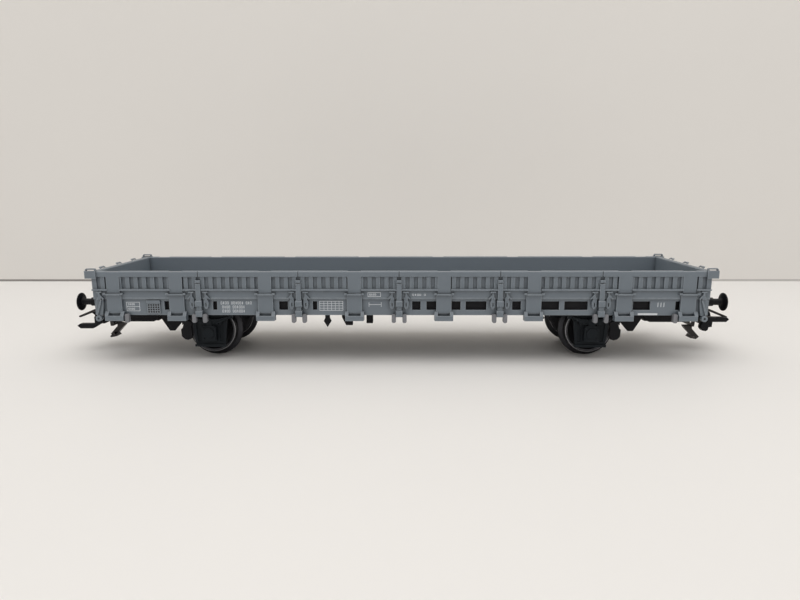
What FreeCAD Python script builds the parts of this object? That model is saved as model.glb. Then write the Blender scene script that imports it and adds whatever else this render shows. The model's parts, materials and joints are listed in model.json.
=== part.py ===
import FreeCAD, Part
import os
import re
import Sketcher

# A two-axle flat wagon with low pressed-steel sides, as a 1:87 model railway vehicle.
# Millimetres.  X runs along the wagon with +X at the front end, +Y is its left side, +Z is up,
# and the origin lies under the wagon's centre in the plane on which the wheel flanges stand.
# The wagon is the same when it is turned half round about Z, so every part of the right side
# or of the front end is modelled once and turned for its twin.

Vector = FreeCAD.Vector
TURN = {"none": 0, "quarter": 90, "half": 180, "three_quarter": 270}

# Driving dimensions: name, value, meaning.
DIMENSIONS = [
    # body
    ("body_half", 72.6, "half length over the end walls' ribs"),
    ("inner_face", 14.5, "half width of the load space"),
    ("wall_rib", 1.1, "inner face of a wall to the front of its ribs"),
    ("wall_rail", 1.3, "inner face to the front of the top rail"),
    ("wall_band", 1.0, "inner face to the front of the flat lower band"),
    ("wall_ledge", 1.55, "inner face to the front of the ledge under the ribs"),
    ("edge", 0.22, "small chamfer on moulded edges"),
    ("wall_top", 22.2, "top of the walls"),
    ("rail_foot", 20.8, "underside of the top rail"),
    ("rib_foot", 17.95, "foot of the grooves between the ribs"),
    ("ledge_foot", 17.6, "underside of the ledge"),
    ("floor_top", 16.2, "load floor"),
    ("sole_top", 15.8, "top of the sole bars, foot of the walls"),
    ("lip_foot", 15.5, "underside of the sole bar's upper lip"),
    ("deck_foot", 15.0, "underside of the deck"),
    ("sole_foot", 11.6, "underside of the sole bars"),
    ("sole_web", 0.6, "inner face to the front of the sole bar's web"),
    ("sole_lip", 1.0, "inner face to the front of the upper lip"),
    ("flange_in", 1.3, "inward reach of the sole bar's lower flange"),
    ("flange_thick", 0.4, "thickness of that flange"),
    ("notch_half", 5.2, "half width of the headstock's notch over the coupler"),
    ("notch_flare", 0.4, "widening of the notch at its mouth"),
    ("notch_height", 1.0, "height of the notch"),
    ("pad_half_y", 1.9, "half width of the pad behind a buffer"),
    ("pad_half_z", 1.75, "half height of that pad"),
    ("pad_thick", 0.35, "thickness of that pad"),
    ("groove_width", 1.0, "width of a groove at the face"),
    ("groove_depth", 0.45, "depth of a groove"),
    ("groove_draft", -4, "draft angle of a groove's sides, degrees"),
    ("grooves_per_bay", 12, "grooves from one door post to the next"),
    ("side_grooves", 73, "grooves in a side wall"),
    ("end_grooves", 15, "grooves in an end wall"),
    ("seam_width", 0.2, "joint line between two doors"),
    ("seam_depth", 0.4, "depth of the joint line"),
    ("plank_pitch", 2.37, "width of a floor plank"),
    ("plank_count", 59, "joints between planks"),
    ("plank_gap", 0.16, "width and depth of the joint between planks"),
    # door posts, latches and stops
    ("post_pitch", 23.67, "spacing of the door posts"),
    ("post_half", 0.575, "half width of a post"),
    ("post_top", 20.1, "top of a post"),
    ("post_foot", 11.7, "foot of a post's strip"),
    ("post_front", 1.6, "inner face to the front of a post"),
    ("post_eye_foot", 19.2, "lower edge of the slot near a post's top"),
    ("post_eye_height", 0.3, "height of that slot"),
    ("hinge_half", 0.78, "half width of a post's two hinge blocks"),
    ("hinge_front", 1.95, "inner face to the front of the hinge blocks"),
    ("hinge_a_foot", 13.72, "foot of the upper hinge block"),
    ("hinge_b_foot", 11.32, "foot of the lower hinge block"),
    ("hinge_height", 1.54, "height of a hinge block"),
    ("latch_offset", 1.65, "centre of a latch from the post's centre"),
    ("latch_thick", 0.5, "thickness of a latch"),
    ("latch_top", 17.4, "top of a latch's tee"),
    ("tee_half", 0.62, "half width of that tee"),
    ("corner_latch_x", 70.98, "centre of a corner latch"),
    ("lug_radius", 0.7, "eye at the foot of a corner latch"),
    ("lug_z", 10.95, "height of that eye"),
    ("lug_offset", 0.45, "centre of that eye from the latch's centre"),
    ("stop_half", 0.5, "half size of a door stop"),
    ("stop_foot", 9.9, "foot of a door stop"),
    ("stop_offset", 1.27, "door stop's centre from the post's centre"),
    ("stop_end_x", 64.7, "single door stop near each corner"),
    ("stop_top", 12.0, "top of a door stop"),
    ("stop_front", 1.7, "inner face to the front of a door stop"),
    # stake pockets
    ("stake_pitch", 21.06, "spacing of the six middle stakes"),
    ("stake_end_x", 67.56, "the two end stakes"),
    ("stake_half", 1.55, "half width of a stake's plain strip in the wall"),
    ("strip_overlap", 0.12, "how far the plain strip runs up into the rail"),
    ("gap_margin", 0.1, "room beside a stake strip in the wall's ledge"),
    ("stake_dip", 0.12, "depth of the dip in the rail over a stake"),
    ("plate_half", 1.78, "half width of a stake pocket's plate"),
    ("strap_foot_half", 2.25, "half width of the upper strap at the wall"),
    ("strap_face_half", 1.65, "half width of the strap at its front"),
    ("strap_thick", 0.3, "thickness of the strap's bow"),
    ("plate_front", 1.25, "inner face to the front of that plate"),
    ("plate_foot", 11.65, "foot of the plate, top of the cup's block"),
    ("strap_foot", 16.55, "underside of the upper strap"),
    ("strap_height", 0.36, "height of the strap"),
    ("strap_front", 1.85, "inner face to the strap's front"),
    ("cup_foot", 10.45, "underside of the cup"),
    ("cup_half", 2.28, "half width of the cup"),
    ("cup_front", 2.05, "inner face to the cup's front"),
    ("cup_back", 0.85, "inner face to the back of the cup's hollow"),
    ("cup_wall", 0.42, "wall thickness of the cup"),
    ("mouth_height", 0.5, "height of the opening in the plate above the cup's rim"),
    ("cup_depth", 0.7, "depth of the cup's pocket"),
    ("ear_height", 0.95, "height of the cup's two ears above its rim"),
    # label holder
    ("label_x", -58.4, "centre of the label holder"),
    ("label_half", 1.6, "half width"),
    ("label_foot", 12.0, "foot"),
    ("label_top", 15.2, "top"),
    ("label_cell", 0.42, "side of a mesh opening"),
    ("label_step", 0.58, "spacing of the mesh"),
    # corner eyes and tie rings
    ("eye_inner_x", 71.3, "inboard end of a corner eye"),
    ("eye_outer_x", 73.9, "outboard end of a corner eye"),
    ("eye_foot", 20.5, "foot of its block"),
    ("eye_top", 22.85, "top of its handle"),
    ("eye_bar", 0.28, "thickness of the handle"),
    ("ring_half", 1.25, "half width of a tie ring"),
    ("ring_reach", 0.85, "reach of a tie ring beyond the rail"),
    ("ring_bar", 0.25, "thickness of a tie ring"),
    ("ring_rise", 0.3, "height of a ring's outer end above the walls"),
    ("ring_pitch", 8.5, "spacing of the three tie rings of an end"),
    # buffers
    ("buffer_y", 10.05, "half the spacing of the buffers"),
    ("buffer_z", 13.9, "height of the buffers"),
    ("buffer_face_x", 79.0, "half length over buffers"),
    ("buffer_head", 2.2, "radius of a buffer head"),
    ("buffer_sleeve", 1.05, "radius of the sleeve"),
    ("buffer_plunger", 0.78, "radius of the plunger"),
    ("buffer_stub", 0.75, "radius of the stub in the headstock"),
    ("buffer_hole", 0.8, "radius of the hole in the headstock"),
    # running gear
    ("axle_x", 46.3, "half the wheelbase"),
    ("axle_z", 6.85, "height of the axles"),
    ("axle_radius", 1.0, "radius of an axle"),
    ("journal_radius", 0.75, "radius of the shoulder by the axle guard"),
    ("pivot_radius", 0.5, "radius of the axle's end pivots"),
    ("bearing_radius", 0.55, "radius of the bearing holes"),
    ("axle_end", 12.6, "half length of an axle"),
    ("wheel_back", 7.2, "half the distance between the wheels' backs"),
    ("wheel_face", 10.0, "outer face of a wheel's rim"),
    ("tread_radius", 5.65, "radius of the tread"),
    ("flange_radius", 6.85, "radius of the flange"),
    ("guard_inner", 11.6, "inner face of an axle guard"),
    ("guard_outer", 12.2, "outer face of an axle guard"),
    ("guard_top_half", 4.4, "half width of an axle guard at its top"),
    ("guard_low_half", 3.65, "half width of an axle guard at its foot"),
    ("guard_foot", 3.1, "foot of an axle guard"),
    ("box_half", 1.75, "half width of an axle box"),
    ("box_front", 13.3, "front of an axle box"),
    ("box_cover", 1.25, "radius of an axle box's cover"),
    ("bolt_radius", 0.24, "radius of the box's bolt heads"),
    ("wheel_web", 2.6, "radius at which a wheel's web meets its hub"),
    ("wheel_hub", 2.0, "radius of a wheel's hub"),
    ("spring_leaf", 0.26, "thickness of a spring leaf"),
    # underframe
    ("frame_half_y", 14.4, "half width of the underframe"),
    ("frame_foot", 12.1, "underside of the underframe's middle"),
    ("bay_x", 38.0, "end of the underframe's middle"),
    ("bay_roof", 14.0, "roof of the wheel bays"),
    ("skirt_thick", 0.5, "thickness of the skirts behind the sole bars"),
    ("beam_y", 3.0, "centre of the two longitudinal beams"),
    ("beam_half", 0.45, "half width of a longitudinal beam"),
    ("beam_foot", 10.9, "underside of these beams"),
    ("cross_half", 0.4, "half width of a cross member"),
    ("cross_reach", 11.5, "half length of a cross member"),
    ("diagonal_x", 54.8, "inboard end of the diagonal stays"),
    ("diagonal_y", 6.6, "half the distance between these ends"),
    ("diagonal_end_y", 13.7, "half the distance between their outer ends"),
    ("diagonal_deep", 0.6, "depth of a diagonal stay"),
    ("ballast_x", 34.0, "half length of the ballast weight"),
    ("ballast_y", 11.0, "half width of the ballast weight"),
    ("ballast_thick", 1.5, "thickness of the ballast weight"),
    ("ballast_gap", 0.1, "clearance around the ballast weight"),
    # brake gear
    ("shoe_inner", 8.55, "inner side of a brake shoe"),
    ("shoe_outer", 9.75, "outer side of a brake shoe"),
    ("shoe_holder_inner", 10.2, "inner side of the shoe's holder, outside the wheel"),
    ("shoe_holder_outer", 10.7, "outer side of that holder"),
    ("shoe_hanger_inner", 8.85, "inner side of a shoe's hanger"),
    ("shoe_hanger_outer", 9.45, "outer side of that hanger"),
    ("rod_inner", 6.7, "inner side of a pull rod"),
    ("rod_outer", 7.0, "outer side of a pull rod"),
    ("bracket_inner", 5.75, "inner side of a brake bracket"),
    ("bracket_outer", 6.25, "outer side of a brake bracket"),
    ("handle_inner", 11.8, "inner side of a brake handle"),
    ("handle_outer", 12.2, "outer side of a brake handle"),
    ("cylinder_inner", 7.0, "inner side of the brake cylinder's block"),
    ("cylinder_outer", 8.4, "outer side of that block"),
    ("lever_inner", 6.6, "inner side of the lever beside it"),
    # couplers
    ("pivot_x", 64.8, "swing axis of a coupler"),
    ("pivot_radius_post", 1.2, "radius of the housing's pivot post"),
    ("drawbar_eye", 1.25, "radius of the hole in the drawbar"),
    ("screw_radius", 0.5, "radius of the cover's screw"),
    ("screw_hole", 0.55, "radius of the screw's hole"),
    ("screw_head", 1.0, "radius of the screw's head"),
    ("housing_rear_x", 61.2, "inboard end of a coupler housing"),
    ("housing_front_x", 69.6, "mouth of a coupler housing"),
    ("housing_half", 6.6, "half width of a coupler housing"),
    ("housing_roof", 11.2, "roof of the housing's inside"),
    ("housing_foot", 9.2, "underside of the housing, top of its cover"),
    ("housing_wall", 0.8, "thickness of the housing's side walls"),
    ("housing_back", 0.5, "thickness of its rear wall"),
    ("clip_half", 0.9, "half width of the clip for the centring spring"),
    ("clip_thick", 0.2, "thickness of that clip"),
    ("cover_foot", 7.95, "underside of the cover"),
    ("drawbar_foot", 9.3, "underside of the drawbar"),
    ("drawbar_boss", 2.1, "radius of the drawbar's boss"),
    ("drawbar_half", 1.6, "half width of the drawbar's arm"),
    ("drawbar_top", 11.1, "top of the drawbar"),
    ("pocket_back_x", 71.0, "end of the pocket's inside"),
    ("pocket_mouth_x", 74.8, "mouth of the coupler pocket"),
    ("pocket_half", 1.6, "half width of the pocket's inside"),
    ("pocket_low", 7.6, "floor of the pocket's inside"),
    ("pocket_high", 9.4, "roof of the pocket's inside"),
    ("pocket_wall", 0.5, "wall thickness of the pocket"),
    ("shank_gap", 0.05, "clearance of the shank in the pocket"),
    ("pin_x", 75.6, "pivot of the coupler loop"),
    ("pin_z", 8.5, "height of that pivot"),
    ("pin_radius", 0.32, "radius of the pivot pin"),
    ("pin_hole", 0.37, "radius of the pin's holes"),
    ("arm_inner", 2.5, "inner side of the loop's arms"),
    ("arm_outer", 3.0, "outer side of the loop's arms"),
    ("head_back_x", 76.9, "rear face of a coupler head's crossbar"),
    ("head_front_x", 78.8, "front face of that crossbar"),
    ("head_inner", 3.15, "inner side of the coupler's two horns"),
    ("head_outer", 4.55, "outer side of the horns"),
    ("horn_tip_x", 83.4, "tips of the horns"),
    ("bar_foot", 6.8, "underside of the crossbar"),
    ("bar_top", 8.9, "top of the crossbar"),
    ("hook_half", 0.8, "half width of the hook"),
    ("bridge_foot", 6.1, "underside of the bridge between the loop's arms"),
    ("bridge_height", 0.6, "height of that bridge"),
    ("leg_inner", 0.5, "one side of the loop's leg"),
    ("leg_outer", 1.9, "the other side of the leg"),
    ("loop_tip_x", 83.6, "tip of the loop"),
    ("spring_gauge", 0.16, "thickness of the centring spring"),
]
# Openings in the right sole bar's web: from, to.
WINDOWS = [
    (-55.9, -54.8), (-44.3, -43.3), (-28.5, -26.4), (-20.5, -19.45), (3.05, 5.05), (6.45, 14.5), (15.7, 20.6),
    (26.65, 28.7), (31.6, 37.7), (38.9, 44.4), (54.95, 59.0), (64.85, 66.6),
]
WINDOW_FOOT, WINDOW_TOP = 12.85, 14.95
DIMENSIONS += [("window_foot", WINDOW_FOOT, "foot of the web's openings"), ("window_top", WINDOW_TOP, "their top")]
for k, (low, high) in enumerate(WINDOWS, start=1):
    DIMENSIONS.append((f"window_{k}_from", low, "an opening in the web"))
    DIMENSIONS.append((f"window_{k}_to", high, "an opening in the web"))

doc = FreeCAD.newDocument("flat_wagon")
sheet = doc.addObject("Spreadsheet::Sheet", "Dims")
for row, (alias, value, meaning) in enumerate(DIMENSIONS, start=1):
    sheet.set(f"A{row}", meaning)
    sheet.set(f"B{row}", str(value))
    sheet.setAlias(f"B{row}", alias)
doc.recompute()
ALIASES = {alias for alias, _, _ in DIMENSIONS}
finished = []


# ---- small tools: everything they make is bound to the sheet by expressions ----

def cells(text):
    """An expression on the sheet's cells: each dimension's name gets the sheet's name before it."""
    return re.sub(r"[a-z][a-z_0-9]*", lambda m: f"Dims.{m[0]}" if m[0] in ALIASES else m[0], str(text))


def number(text):
    """The value that such an expression has now."""
    return float(sheet.evalExpression(cells(text)))


def origin(body, role):
    """One of a body's own origin planes or axes."""
    return next(feature for feature in body.Origin.OriginFeatures if feature.Role == role)


def new_body(name):
    return doc.addObject("PartDesign::Body", name)


def sketch(body, plane, outlines, offset="0"):
    """A sketch on an origin plane. An outline is a list of (u, v) corners, or ("circle", u, v, radius)."""
    drawn = body.newObject("Sketcher::SketchObject", "sketch")
    drawn.AttachmentSupport = [(origin(body, plane), "")]
    drawn.MapMode = "FlatFace"
    drawn.setExpression("AttachmentOffset.Base.z", cells(offset))
    for outline in outlines:
        first = drawn.GeometryCount
        if outline[0] == "circle":
            _, u, v, radius = outline
            centre = Vector(number(u), number(v), 0)
            drawn.addGeometry(Part.Circle(centre, Vector(0, 0, 1), number(radius)))
            bind(drawn, first, 3, u, v)
            index = drawn.addConstraint(Sketcher.Constraint("Radius", first, number(radius)))
            drawn.setExpression(f"Constraints[{index}]", cells(radius))
            continue
        corners = [Vector(number(u), number(v), 0) for u, v in outline]
        count = len(corners)
        for i in range(count):
            drawn.addGeometry(Part.LineSegment(corners[i], corners[(i + 1) % count]))
        for i in range(count):
            drawn.addConstraint(Sketcher.Constraint("Coincident", first + i, 2, first + (i + 1) % count, 1))
        for i, (u, v) in enumerate(outline):
            bind(drawn, first + i, 1, u, v)
    return drawn


def bind(drawn, geometry, point, u, v):
    """Ties a sketch point's two coordinates to expressions."""
    for kind, text in (("DistanceX", u), ("DistanceY", v)):
        index = drawn.addConstraint(Sketcher.Constraint(kind, -1, 1, geometry, point, number(text)))
        drawn.setExpression(f"Constraints[{index}]", cells(text))


def rectangle(u_low, u_high, v_low, v_high):
    return [(u_low, v_low), (u_high, v_low), (u_high, v_high), (u_low, v_high)]


def pad(body, plane, outlines, start, end):
    """Material between two distances from an origin plane, along the plane's normal."""
    feature = body.newObject("PartDesign::Pad", "pad")
    feature.Profile = sketch(body, plane, outlines, start)
    feature.setExpression("Length", cells(f"({end}) - ({start})"))
    doc.recompute()
    return feature


def pocket(body, plane, outlines, start, end, draft=None):
    """A cut from distance end down to distance start. It stops the script if it removes nothing."""
    doc.recompute()
    before = body.Shape.Volume
    feature = body.newObject("PartDesign::Pocket", "pocket")
    feature.Profile = sketch(body, plane, outlines, end)
    feature.setExpression("Length", cells(f"({end}) - ({start})"))
    if draft:
        feature.setExpression("TaperAngle", cells(draft))
    doc.recompute()
    if body.Shape.Volume > before - 1e-6:
        raise RuntimeError(f"a pocket in {body.Name} removed nothing")
    return feature


def revolve(body, plane, outline):
    """A turned solid about the first axis of a plane's sketch."""
    feature = body.newObject("PartDesign::Revolution", "revolution")
    profile = sketch(body, plane, [outline])
    feature.Profile = profile
    feature.ReferenceAxis = (profile, ["H_Axis"])
    doc.recompute()
    return feature


def row_of(body, feature, axis, length, count):
    """Repeats a feature in a row along an origin axis."""
    pattern = body.newObject("PartDesign::LinearPattern", "row")
    pattern.Originals = [feature]
    pattern.Direction = (origin(body, axis), [""])
    pattern.setExpression("Length", cells(length))
    pattern.setExpression("Occurrences", cells(count))
    body.Tip = pattern
    doc.recompute()
    return pattern


def mirrored(body, features, plane):
    """Adds the mirror image of some features."""
    copy = body.newObject("PartDesign::Mirrored", "mirror")
    copy.Originals = features
    copy.MirrorPlane = (origin(body, plane), [""])
    body.Tip = copy
    doc.recompute()
    return copy


def place(shape_object, turn="none", x="0", y="0", z="0"):
    """Turns an object about Z and moves it to a place given by expressions."""
    shape_object.Placement = FreeCAD.Placement(Vector(), FreeCAD.Rotation(Vector(0, 0, 1), TURN[turn]))
    for axis, text in (("x", x), ("y", y), ("z", z)):
        shape_object.setExpression(f"Placement.Base.{axis}", cells(text))
    return shape_object


def finish(label, shape_object):
    """Names a sub-part and keeps it for export."""
    shape_object.Label = label
    finished.append(shape_object)
    return shape_object


def linked(original, turn="none", x="0", y="0", z="0"):
    """Another instance of a modelled piece."""
    link = doc.addObject("App::Link", "instance")
    link.LinkedObject = original
    link.LinkTransform = True
    return place(link, turn, x, y, z)


def group(label, original, places):
    """One sub-part of several like pieces: a compound of instances at (x, y) places."""
    compound = doc.addObject("Part::Compound", label)
    compound.Links = [linked(original, "none", x, y) for x, y in places]
    doc.recompute()
    return compound


def twin(label, original):
    """The same piece turned half round the wagon's centre."""
    compound = doc.addObject("Part::Compound", label)
    compound.Links = [linked(original)]
    place(compound, "half")
    doc.recompute()
    return finish(label, compound)


# ---- walls, sole bars and headstocks: modelled facing -Y with their inner face at Y = 0 ----

STAKES = [f"{k} * stake_pitch" for k in (-2.5, -1.5, -0.5, 0.5, 1.5, 2.5)] + ["-stake_end_x", "stake_end_x"]
POSTS = [f"{k} * post_pitch" for k in (-2, -1, 0, 1, 2)]
GROOVE_PITCH = "post_pitch / grooves_per_bay"


def around(centre, half):
    """The two ends of a stretch about a centre."""
    return f"{centre} - {half}", f"{centre} + {half}"


def pressed_wall(name, half, groove_count):
    """A low wall: top rail, row of pressed grooves, ledge and plain lower band."""
    body = new_body(name)
    section = [
        ("0", "sole_top"), ("-wall_band", "sole_top"), ("-wall_band", "ledge_foot"),
        ("-wall_ledge", "ledge_foot"), ("-wall_ledge", "rib_foot - 0.1"), ("-wall_ledge + 0.1", "rib_foot"),
        ("-wall_rib", "rib_foot"), ("-wall_rib", "rail_foot"), ("-wall_rail", "rail_foot + 0.12"),
        ("-wall_rail", "wall_top - edge"), ("-wall_rail + edge", "wall_top"), ("-edge", "wall_top"),
        ("0", "wall_top - edge"),
    ]
    pad(body, "YZ_Plane", [section], f"-({half})", half)
    first = f"-({groove_count} - 1) / 2 * {GROOVE_PITCH}"
    low, high = around(first, "groove_width / 2")
    groove = pocket(body, "XZ_Plane", [rectangle(low, high, "rib_foot", "rail_foot")],
                    "wall_rib - groove_depth", "wall_rib", "groove_draft")
    row_of(body, groove, "X_Axis", f"({groove_count} - 1) * {GROOVE_PITCH}", groove_count)
    return body


def side_wall():
    """A side wall with plain strips for the stakes, joint lines between its doors and gaps for the posts."""
    body = pressed_wall("side_wall", "body_half", "side_grooves")
    gaps = [rectangle(*around(x, "stake_half + gap_margin"), "ledge_foot", "rib_foot") for x in STAKES]
    gaps += [rectangle(*around(x, "post_half + 0.05"), "ledge_foot", "rib_foot") for x in POSTS]
    pocket(body, "XZ_Plane", gaps, "wall_rib", "wall_ledge")
    strips = [
        rectangle(*around(x, "stake_half"), "strap_foot + strap_height", "rail_foot + strip_overlap")
        for x in STAKES
    ]
    pad(body, "XZ_Plane", strips, "wall_rib - groove_depth", "wall_rail")
    dips = [rectangle(*around(x, "stake_half"), "wall_top - stake_dip", "wall_top") for x in STAKES]
    pocket(body, "XZ_Plane", dips, "0", "wall_rail")
    seams = [rectangle(*around(x, "seam_width / 2"), "rail_foot", "wall_top") for x in POSTS]
    pocket(body, "XZ_Plane", seams, "wall_rail - seam_depth", "wall_rail")
    return body


def sole_bar():
    """A channel with a lip on top, a lower flange between the headstocks and openings in its web."""
    body = new_body("sole_bar")
    section = [
        ("0", "sole_top"), ("-sole_lip", "sole_top"), ("-sole_lip", "lip_foot"), ("-sole_web", "lip_foot"),
        ("-sole_web", "sole_foot"), ("0", "sole_foot"),
    ]
    pad(body, "YZ_Plane", [section], "-body_half", "body_half")
    flange = rectangle("0", "flange_in", "sole_foot", "sole_foot + flange_thick")
    pad(body, "YZ_Plane", [flange], "-(body_half - wall_rib)", "body_half - wall_rib")
    openings = [
        rectangle(f"window_{k}_from", f"window_{k}_to", "window_foot", "window_top")
        for k in range(1, len(WINDOWS) + 1)
    ]
    pocket(body, "XZ_Plane", openings, "0", "sole_web")
    return body


def headstock():
    """The beam that carries the buffers, with a notch over the coupler."""
    body = new_body("headstock")
    outline = [
        ("-inner_face", "sole_foot"), ("-notch_half - notch_flare", "sole_foot"),
        ("-notch_half", "sole_foot + notch_height"), ("notch_half", "sole_foot + notch_height"),
        ("notch_half + notch_flare", "sole_foot"), ("inner_face", "sole_foot"), ("inner_face", "sole_top"),
        ("-inner_face", "sole_top"),
    ]
    pad(body, "XZ_Plane", [outline], "0", "wall_rib")
    pads = [rectangle(*around(y, "pad_half_y"), *around("buffer_z", "pad_half_z")) for y in ("-buffer_y", "buffer_y")]
    pad(body, "XZ_Plane", pads, "wall_rib", "wall_rib + pad_thick")
    holes = [("circle", y, "buffer_z", "buffer_hole") for y in ("-buffer_y", "buffer_y")]
    pocket(body, "XZ_Plane", holes, "0", "wall_rib + pad_thick")
    return body


def deck():
    """The load floor, engraved with crosswise planks."""
    body = new_body("deck")
    half = "(body_half - wall_rib)"
    pad(body, "XY_Plane", [rectangle(f"-{half}", half, "-inner_face", "inner_face")], "deck_foot", "floor_top")
    first = "-(plank_count - 1) / 2 * plank_pitch"
    joint = pocket(body, "XY_Plane",
                   [rectangle(*around(first, "plank_gap / 2"), "-inner_face", "inner_face")],
                   "floor_top - plank_gap", "floor_top")
    row_of(body, joint, "X_Axis", "(plank_count - 1) * plank_pitch", "plank_count")
    return finish("deck", body)


# ---- side details, in the same local frame: X = 0 at their centre, -Y outwards ----

def stake_pocket():
    """Plate, upper strap and lower cup that held one stake."""
    body = new_body("stake_pocket")
    pad(body, "XZ_Plane", [rectangle("-plate_half", "plate_half", "plate_foot", "strap_foot + strap_height")],
        "wall_band", "plate_front")
    pad(body, "XZ_Plane", [rectangle("-plate_half", "plate_half", "plate_foot", "lip_foot")],
        "sole_web", "wall_band")
    strap = [
        ("-strap_foot_half", "-wall_band"), ("-strap_face_half", "-strap_front"), ("strap_face_half", "-strap_front"),
        ("strap_foot_half", "-wall_band"), ("strap_foot_half - 1.25 * strap_thick", "-wall_band"),
        ("strap_face_half - 0.75 * strap_thick", "-strap_front + strap_thick"),
        ("-strap_face_half + 0.75 * strap_thick", "-strap_front + strap_thick"),
        ("-strap_foot_half + 1.25 * strap_thick", "-wall_band"),
    ]
    pad(body, "XY_Plane", [strap], "strap_foot", "strap_foot + strap_height")
    pad(body, "XY_Plane", [
        rectangle(*around(f"{sign}(strap_foot_half - 0.2)", "0.3"), "-strap_front", "-wall_band") for sign in ("", "-")
    ], "strap_foot + 0.1", "strap_foot + strap_height + 0.12")
    block = [
        ("-cup_half", "-sole_web"), ("-cup_half + 0.12", "-cup_front"), ("cup_half - 0.12", "-cup_front"),
        ("cup_half", "-sole_web"),
    ]
    pad(body, "XY_Plane", [block], "cup_foot", "plate_foot")
    hollow = [
        ("-cup_half + 2 * cup_wall", "-cup_back"), ("-cup_half + 2 * cup_wall", "-cup_front + cup_wall"),
        ("cup_half - 2 * cup_wall", "-cup_front + cup_wall"), ("cup_half - 2 * cup_wall", "-cup_back"),
    ]
    pocket(body, "XY_Plane", [hollow], "plate_foot - cup_depth", "plate_foot + mouth_height")
    ear = [
        ("-sole_web", "plate_foot"), ("-cup_front + 0.06", "plate_foot"),
        ("-plate_front - 0.1", "plate_foot + ear_height"), ("-sole_web", "plate_foot + ear_height"),
    ]
    side = pad(body, "YZ_Plane", [ear], "cup_half - 2 * cup_wall", "cup_half - 0.06")
    mirrored(body, [side], "YZ_Plane")
    return body


def door_post():
    """A post between two doors: strip with a slotted head, and two hinge blocks."""
    body = new_body("door_post")
    strip = [
        ("-sole_web", "post_foot"), ("-post_front", "post_foot"), ("-post_front", "post_top - 0.15"),
        ("-post_front + 0.15", "post_top"), ("-wall_rib", "post_top"), ("-wall_rib", "ledge_foot"),
        ("-wall_band", "ledge_foot"), ("-wall_band", "lip_foot"), ("-sole_web", "lip_foot"),
    ]
    pad(body, "YZ_Plane", [strip], "-post_half", "post_half")
    slot = rectangle("-post_half", "post_half", "post_eye_foot", "post_eye_foot + post_eye_height")
    pocket(body, "XZ_Plane", [slot], "wall_rib + 0.15", "post_front")
    for foot in ("hinge_a_foot", "hinge_b_foot"):
        block = [
            ("-sole_web", foot), ("-hinge_front + edge", foot), ("-hinge_front", f"{foot} + edge"),
            ("-hinge_front", f"{foot} + hinge_height - edge"), ("-hinge_front + edge", f"{foot} + hinge_height"),
            ("-sole_web", f"{foot} + hinge_height"),
        ]
        pad(body, "YZ_Plane", [block], "-hinge_half", "hinge_half")
    return body


def latch_upper(centre, side=1):
    """Outline of a latch above the sole bar's lip: tee, stem, slanting finger and shoulder."""
    points = [
        ("-tee_half", "latch_top"), ("tee_half", "latch_top"), ("tee_half", "latch_top - 0.28"),
        (0.19, "latch_top - 0.28"),
        (0.19, "lip_foot + 1.15"), (1.1, "lip_foot + 0.15"), (0.85, "lip_foot"), (0.38, "lip_foot + 0.4"),
        (0.38, "lip_foot"), (-0.5, "lip_foot"), (-0.5, "lip_foot + 0.3"), (-0.19, "lip_foot + 0.7"),
        (-0.19, "latch_top - 0.28"),
        ("-tee_half", "latch_top - 0.28"),
    ]
    return [(f"{centre} + {side} * ({u})", v) for u, v in points]


def latch_pair():
    """The two latches beside a post."""
    body = new_body("latch_pair")
    upper = pad(body, "XZ_Plane", [latch_upper("latch_offset")], "wall_band", "wall_band + latch_thick")
    tee = rectangle(*around("latch_offset", "tee_half"), "latch_top - 0.28", "latch_top")
    proud = pad(body, "XZ_Plane", [tee], "wall_band + latch_thick", "wall_band + latch_thick + 0.25")
    outline = [
        (0.38, "lip_foot"), (0.62, "lip_foot - 0.7"), (0.55, "lip_foot - 1.7"), (0.22, "lip_foot - 2.3"),
        (-0.22, "lip_foot - 2.3"), (-0.55, "lip_foot - 1.7"), (-0.6, "lip_foot - 0.7"), (-0.5, "lip_foot"),
    ]
    lower = pad(body, "XZ_Plane", [[(f"latch_offset + {u}", v) for u, v in outline]],
                "sole_web", "wall_band + latch_thick - 0.1")
    slot = pocket(body, "XZ_Plane",
                  [rectangle("latch_offset - 0.14", "latch_offset + 0.14", "lip_foot - 1.7", "lip_foot - 0.8")],
                  "wall_band", "wall_band + latch_thick - 0.1")
    mirrored(body, [upper, proud, lower, slot], "YZ_Plane")
    return body


def corner_latch():
    """The latch at each end of a side, with a lever down to an eye under the sole bar."""
    body = new_body("corner_latch")
    upper = pad(body, "XZ_Plane", [latch_upper("corner_latch_x", -1)], "wall_band", "wall_band + latch_thick")
    outline = [
        (-0.8, "lip_foot"), (-0.8, "lip_foot - 0.9"), (-0.65, "lip_foot - 2.4"), (-0.4, "sole_foot"),
        (0.95, "sole_foot"), (1.05, "lip_foot - 3.2"), (1.05, "lip_foot - 1.6"), (0.9, "lip_foot"),
    ]
    lower = pad(body, "XZ_Plane", [[(f"corner_latch_x + {u}", v) for u, v in outline]],
                "sole_web", "wall_band + 0.25")
    lever = [
        (-0.55, "lip_foot - 0.2"), (-0.2, "lip_foot - 0.2"), (0.95, "sole_foot + 0.5"), (0.6, "sole_foot + 0.1"),
    ]
    bar = pad(body, "XZ_Plane", [[(f"corner_latch_x + {u}", v) for u, v in lever]],
              "wall_band + 0.25", "wall_band + 0.6")
    eye = pad(body, "XZ_Plane", [("circle", "corner_latch_x + lug_offset", "lug_z", "lug_radius")],
              "sole_web", "wall_band + 0.7")
    bore = pocket(body, "XZ_Plane", [("circle", "corner_latch_x + lug_offset", "lug_z", "lug_radius / 2.4")],
                  "wall_band + 0.3", "wall_band + 0.7")
    mirrored(body, [upper, lower, bar, eye, bore], "YZ_Plane")
    return body


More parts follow.
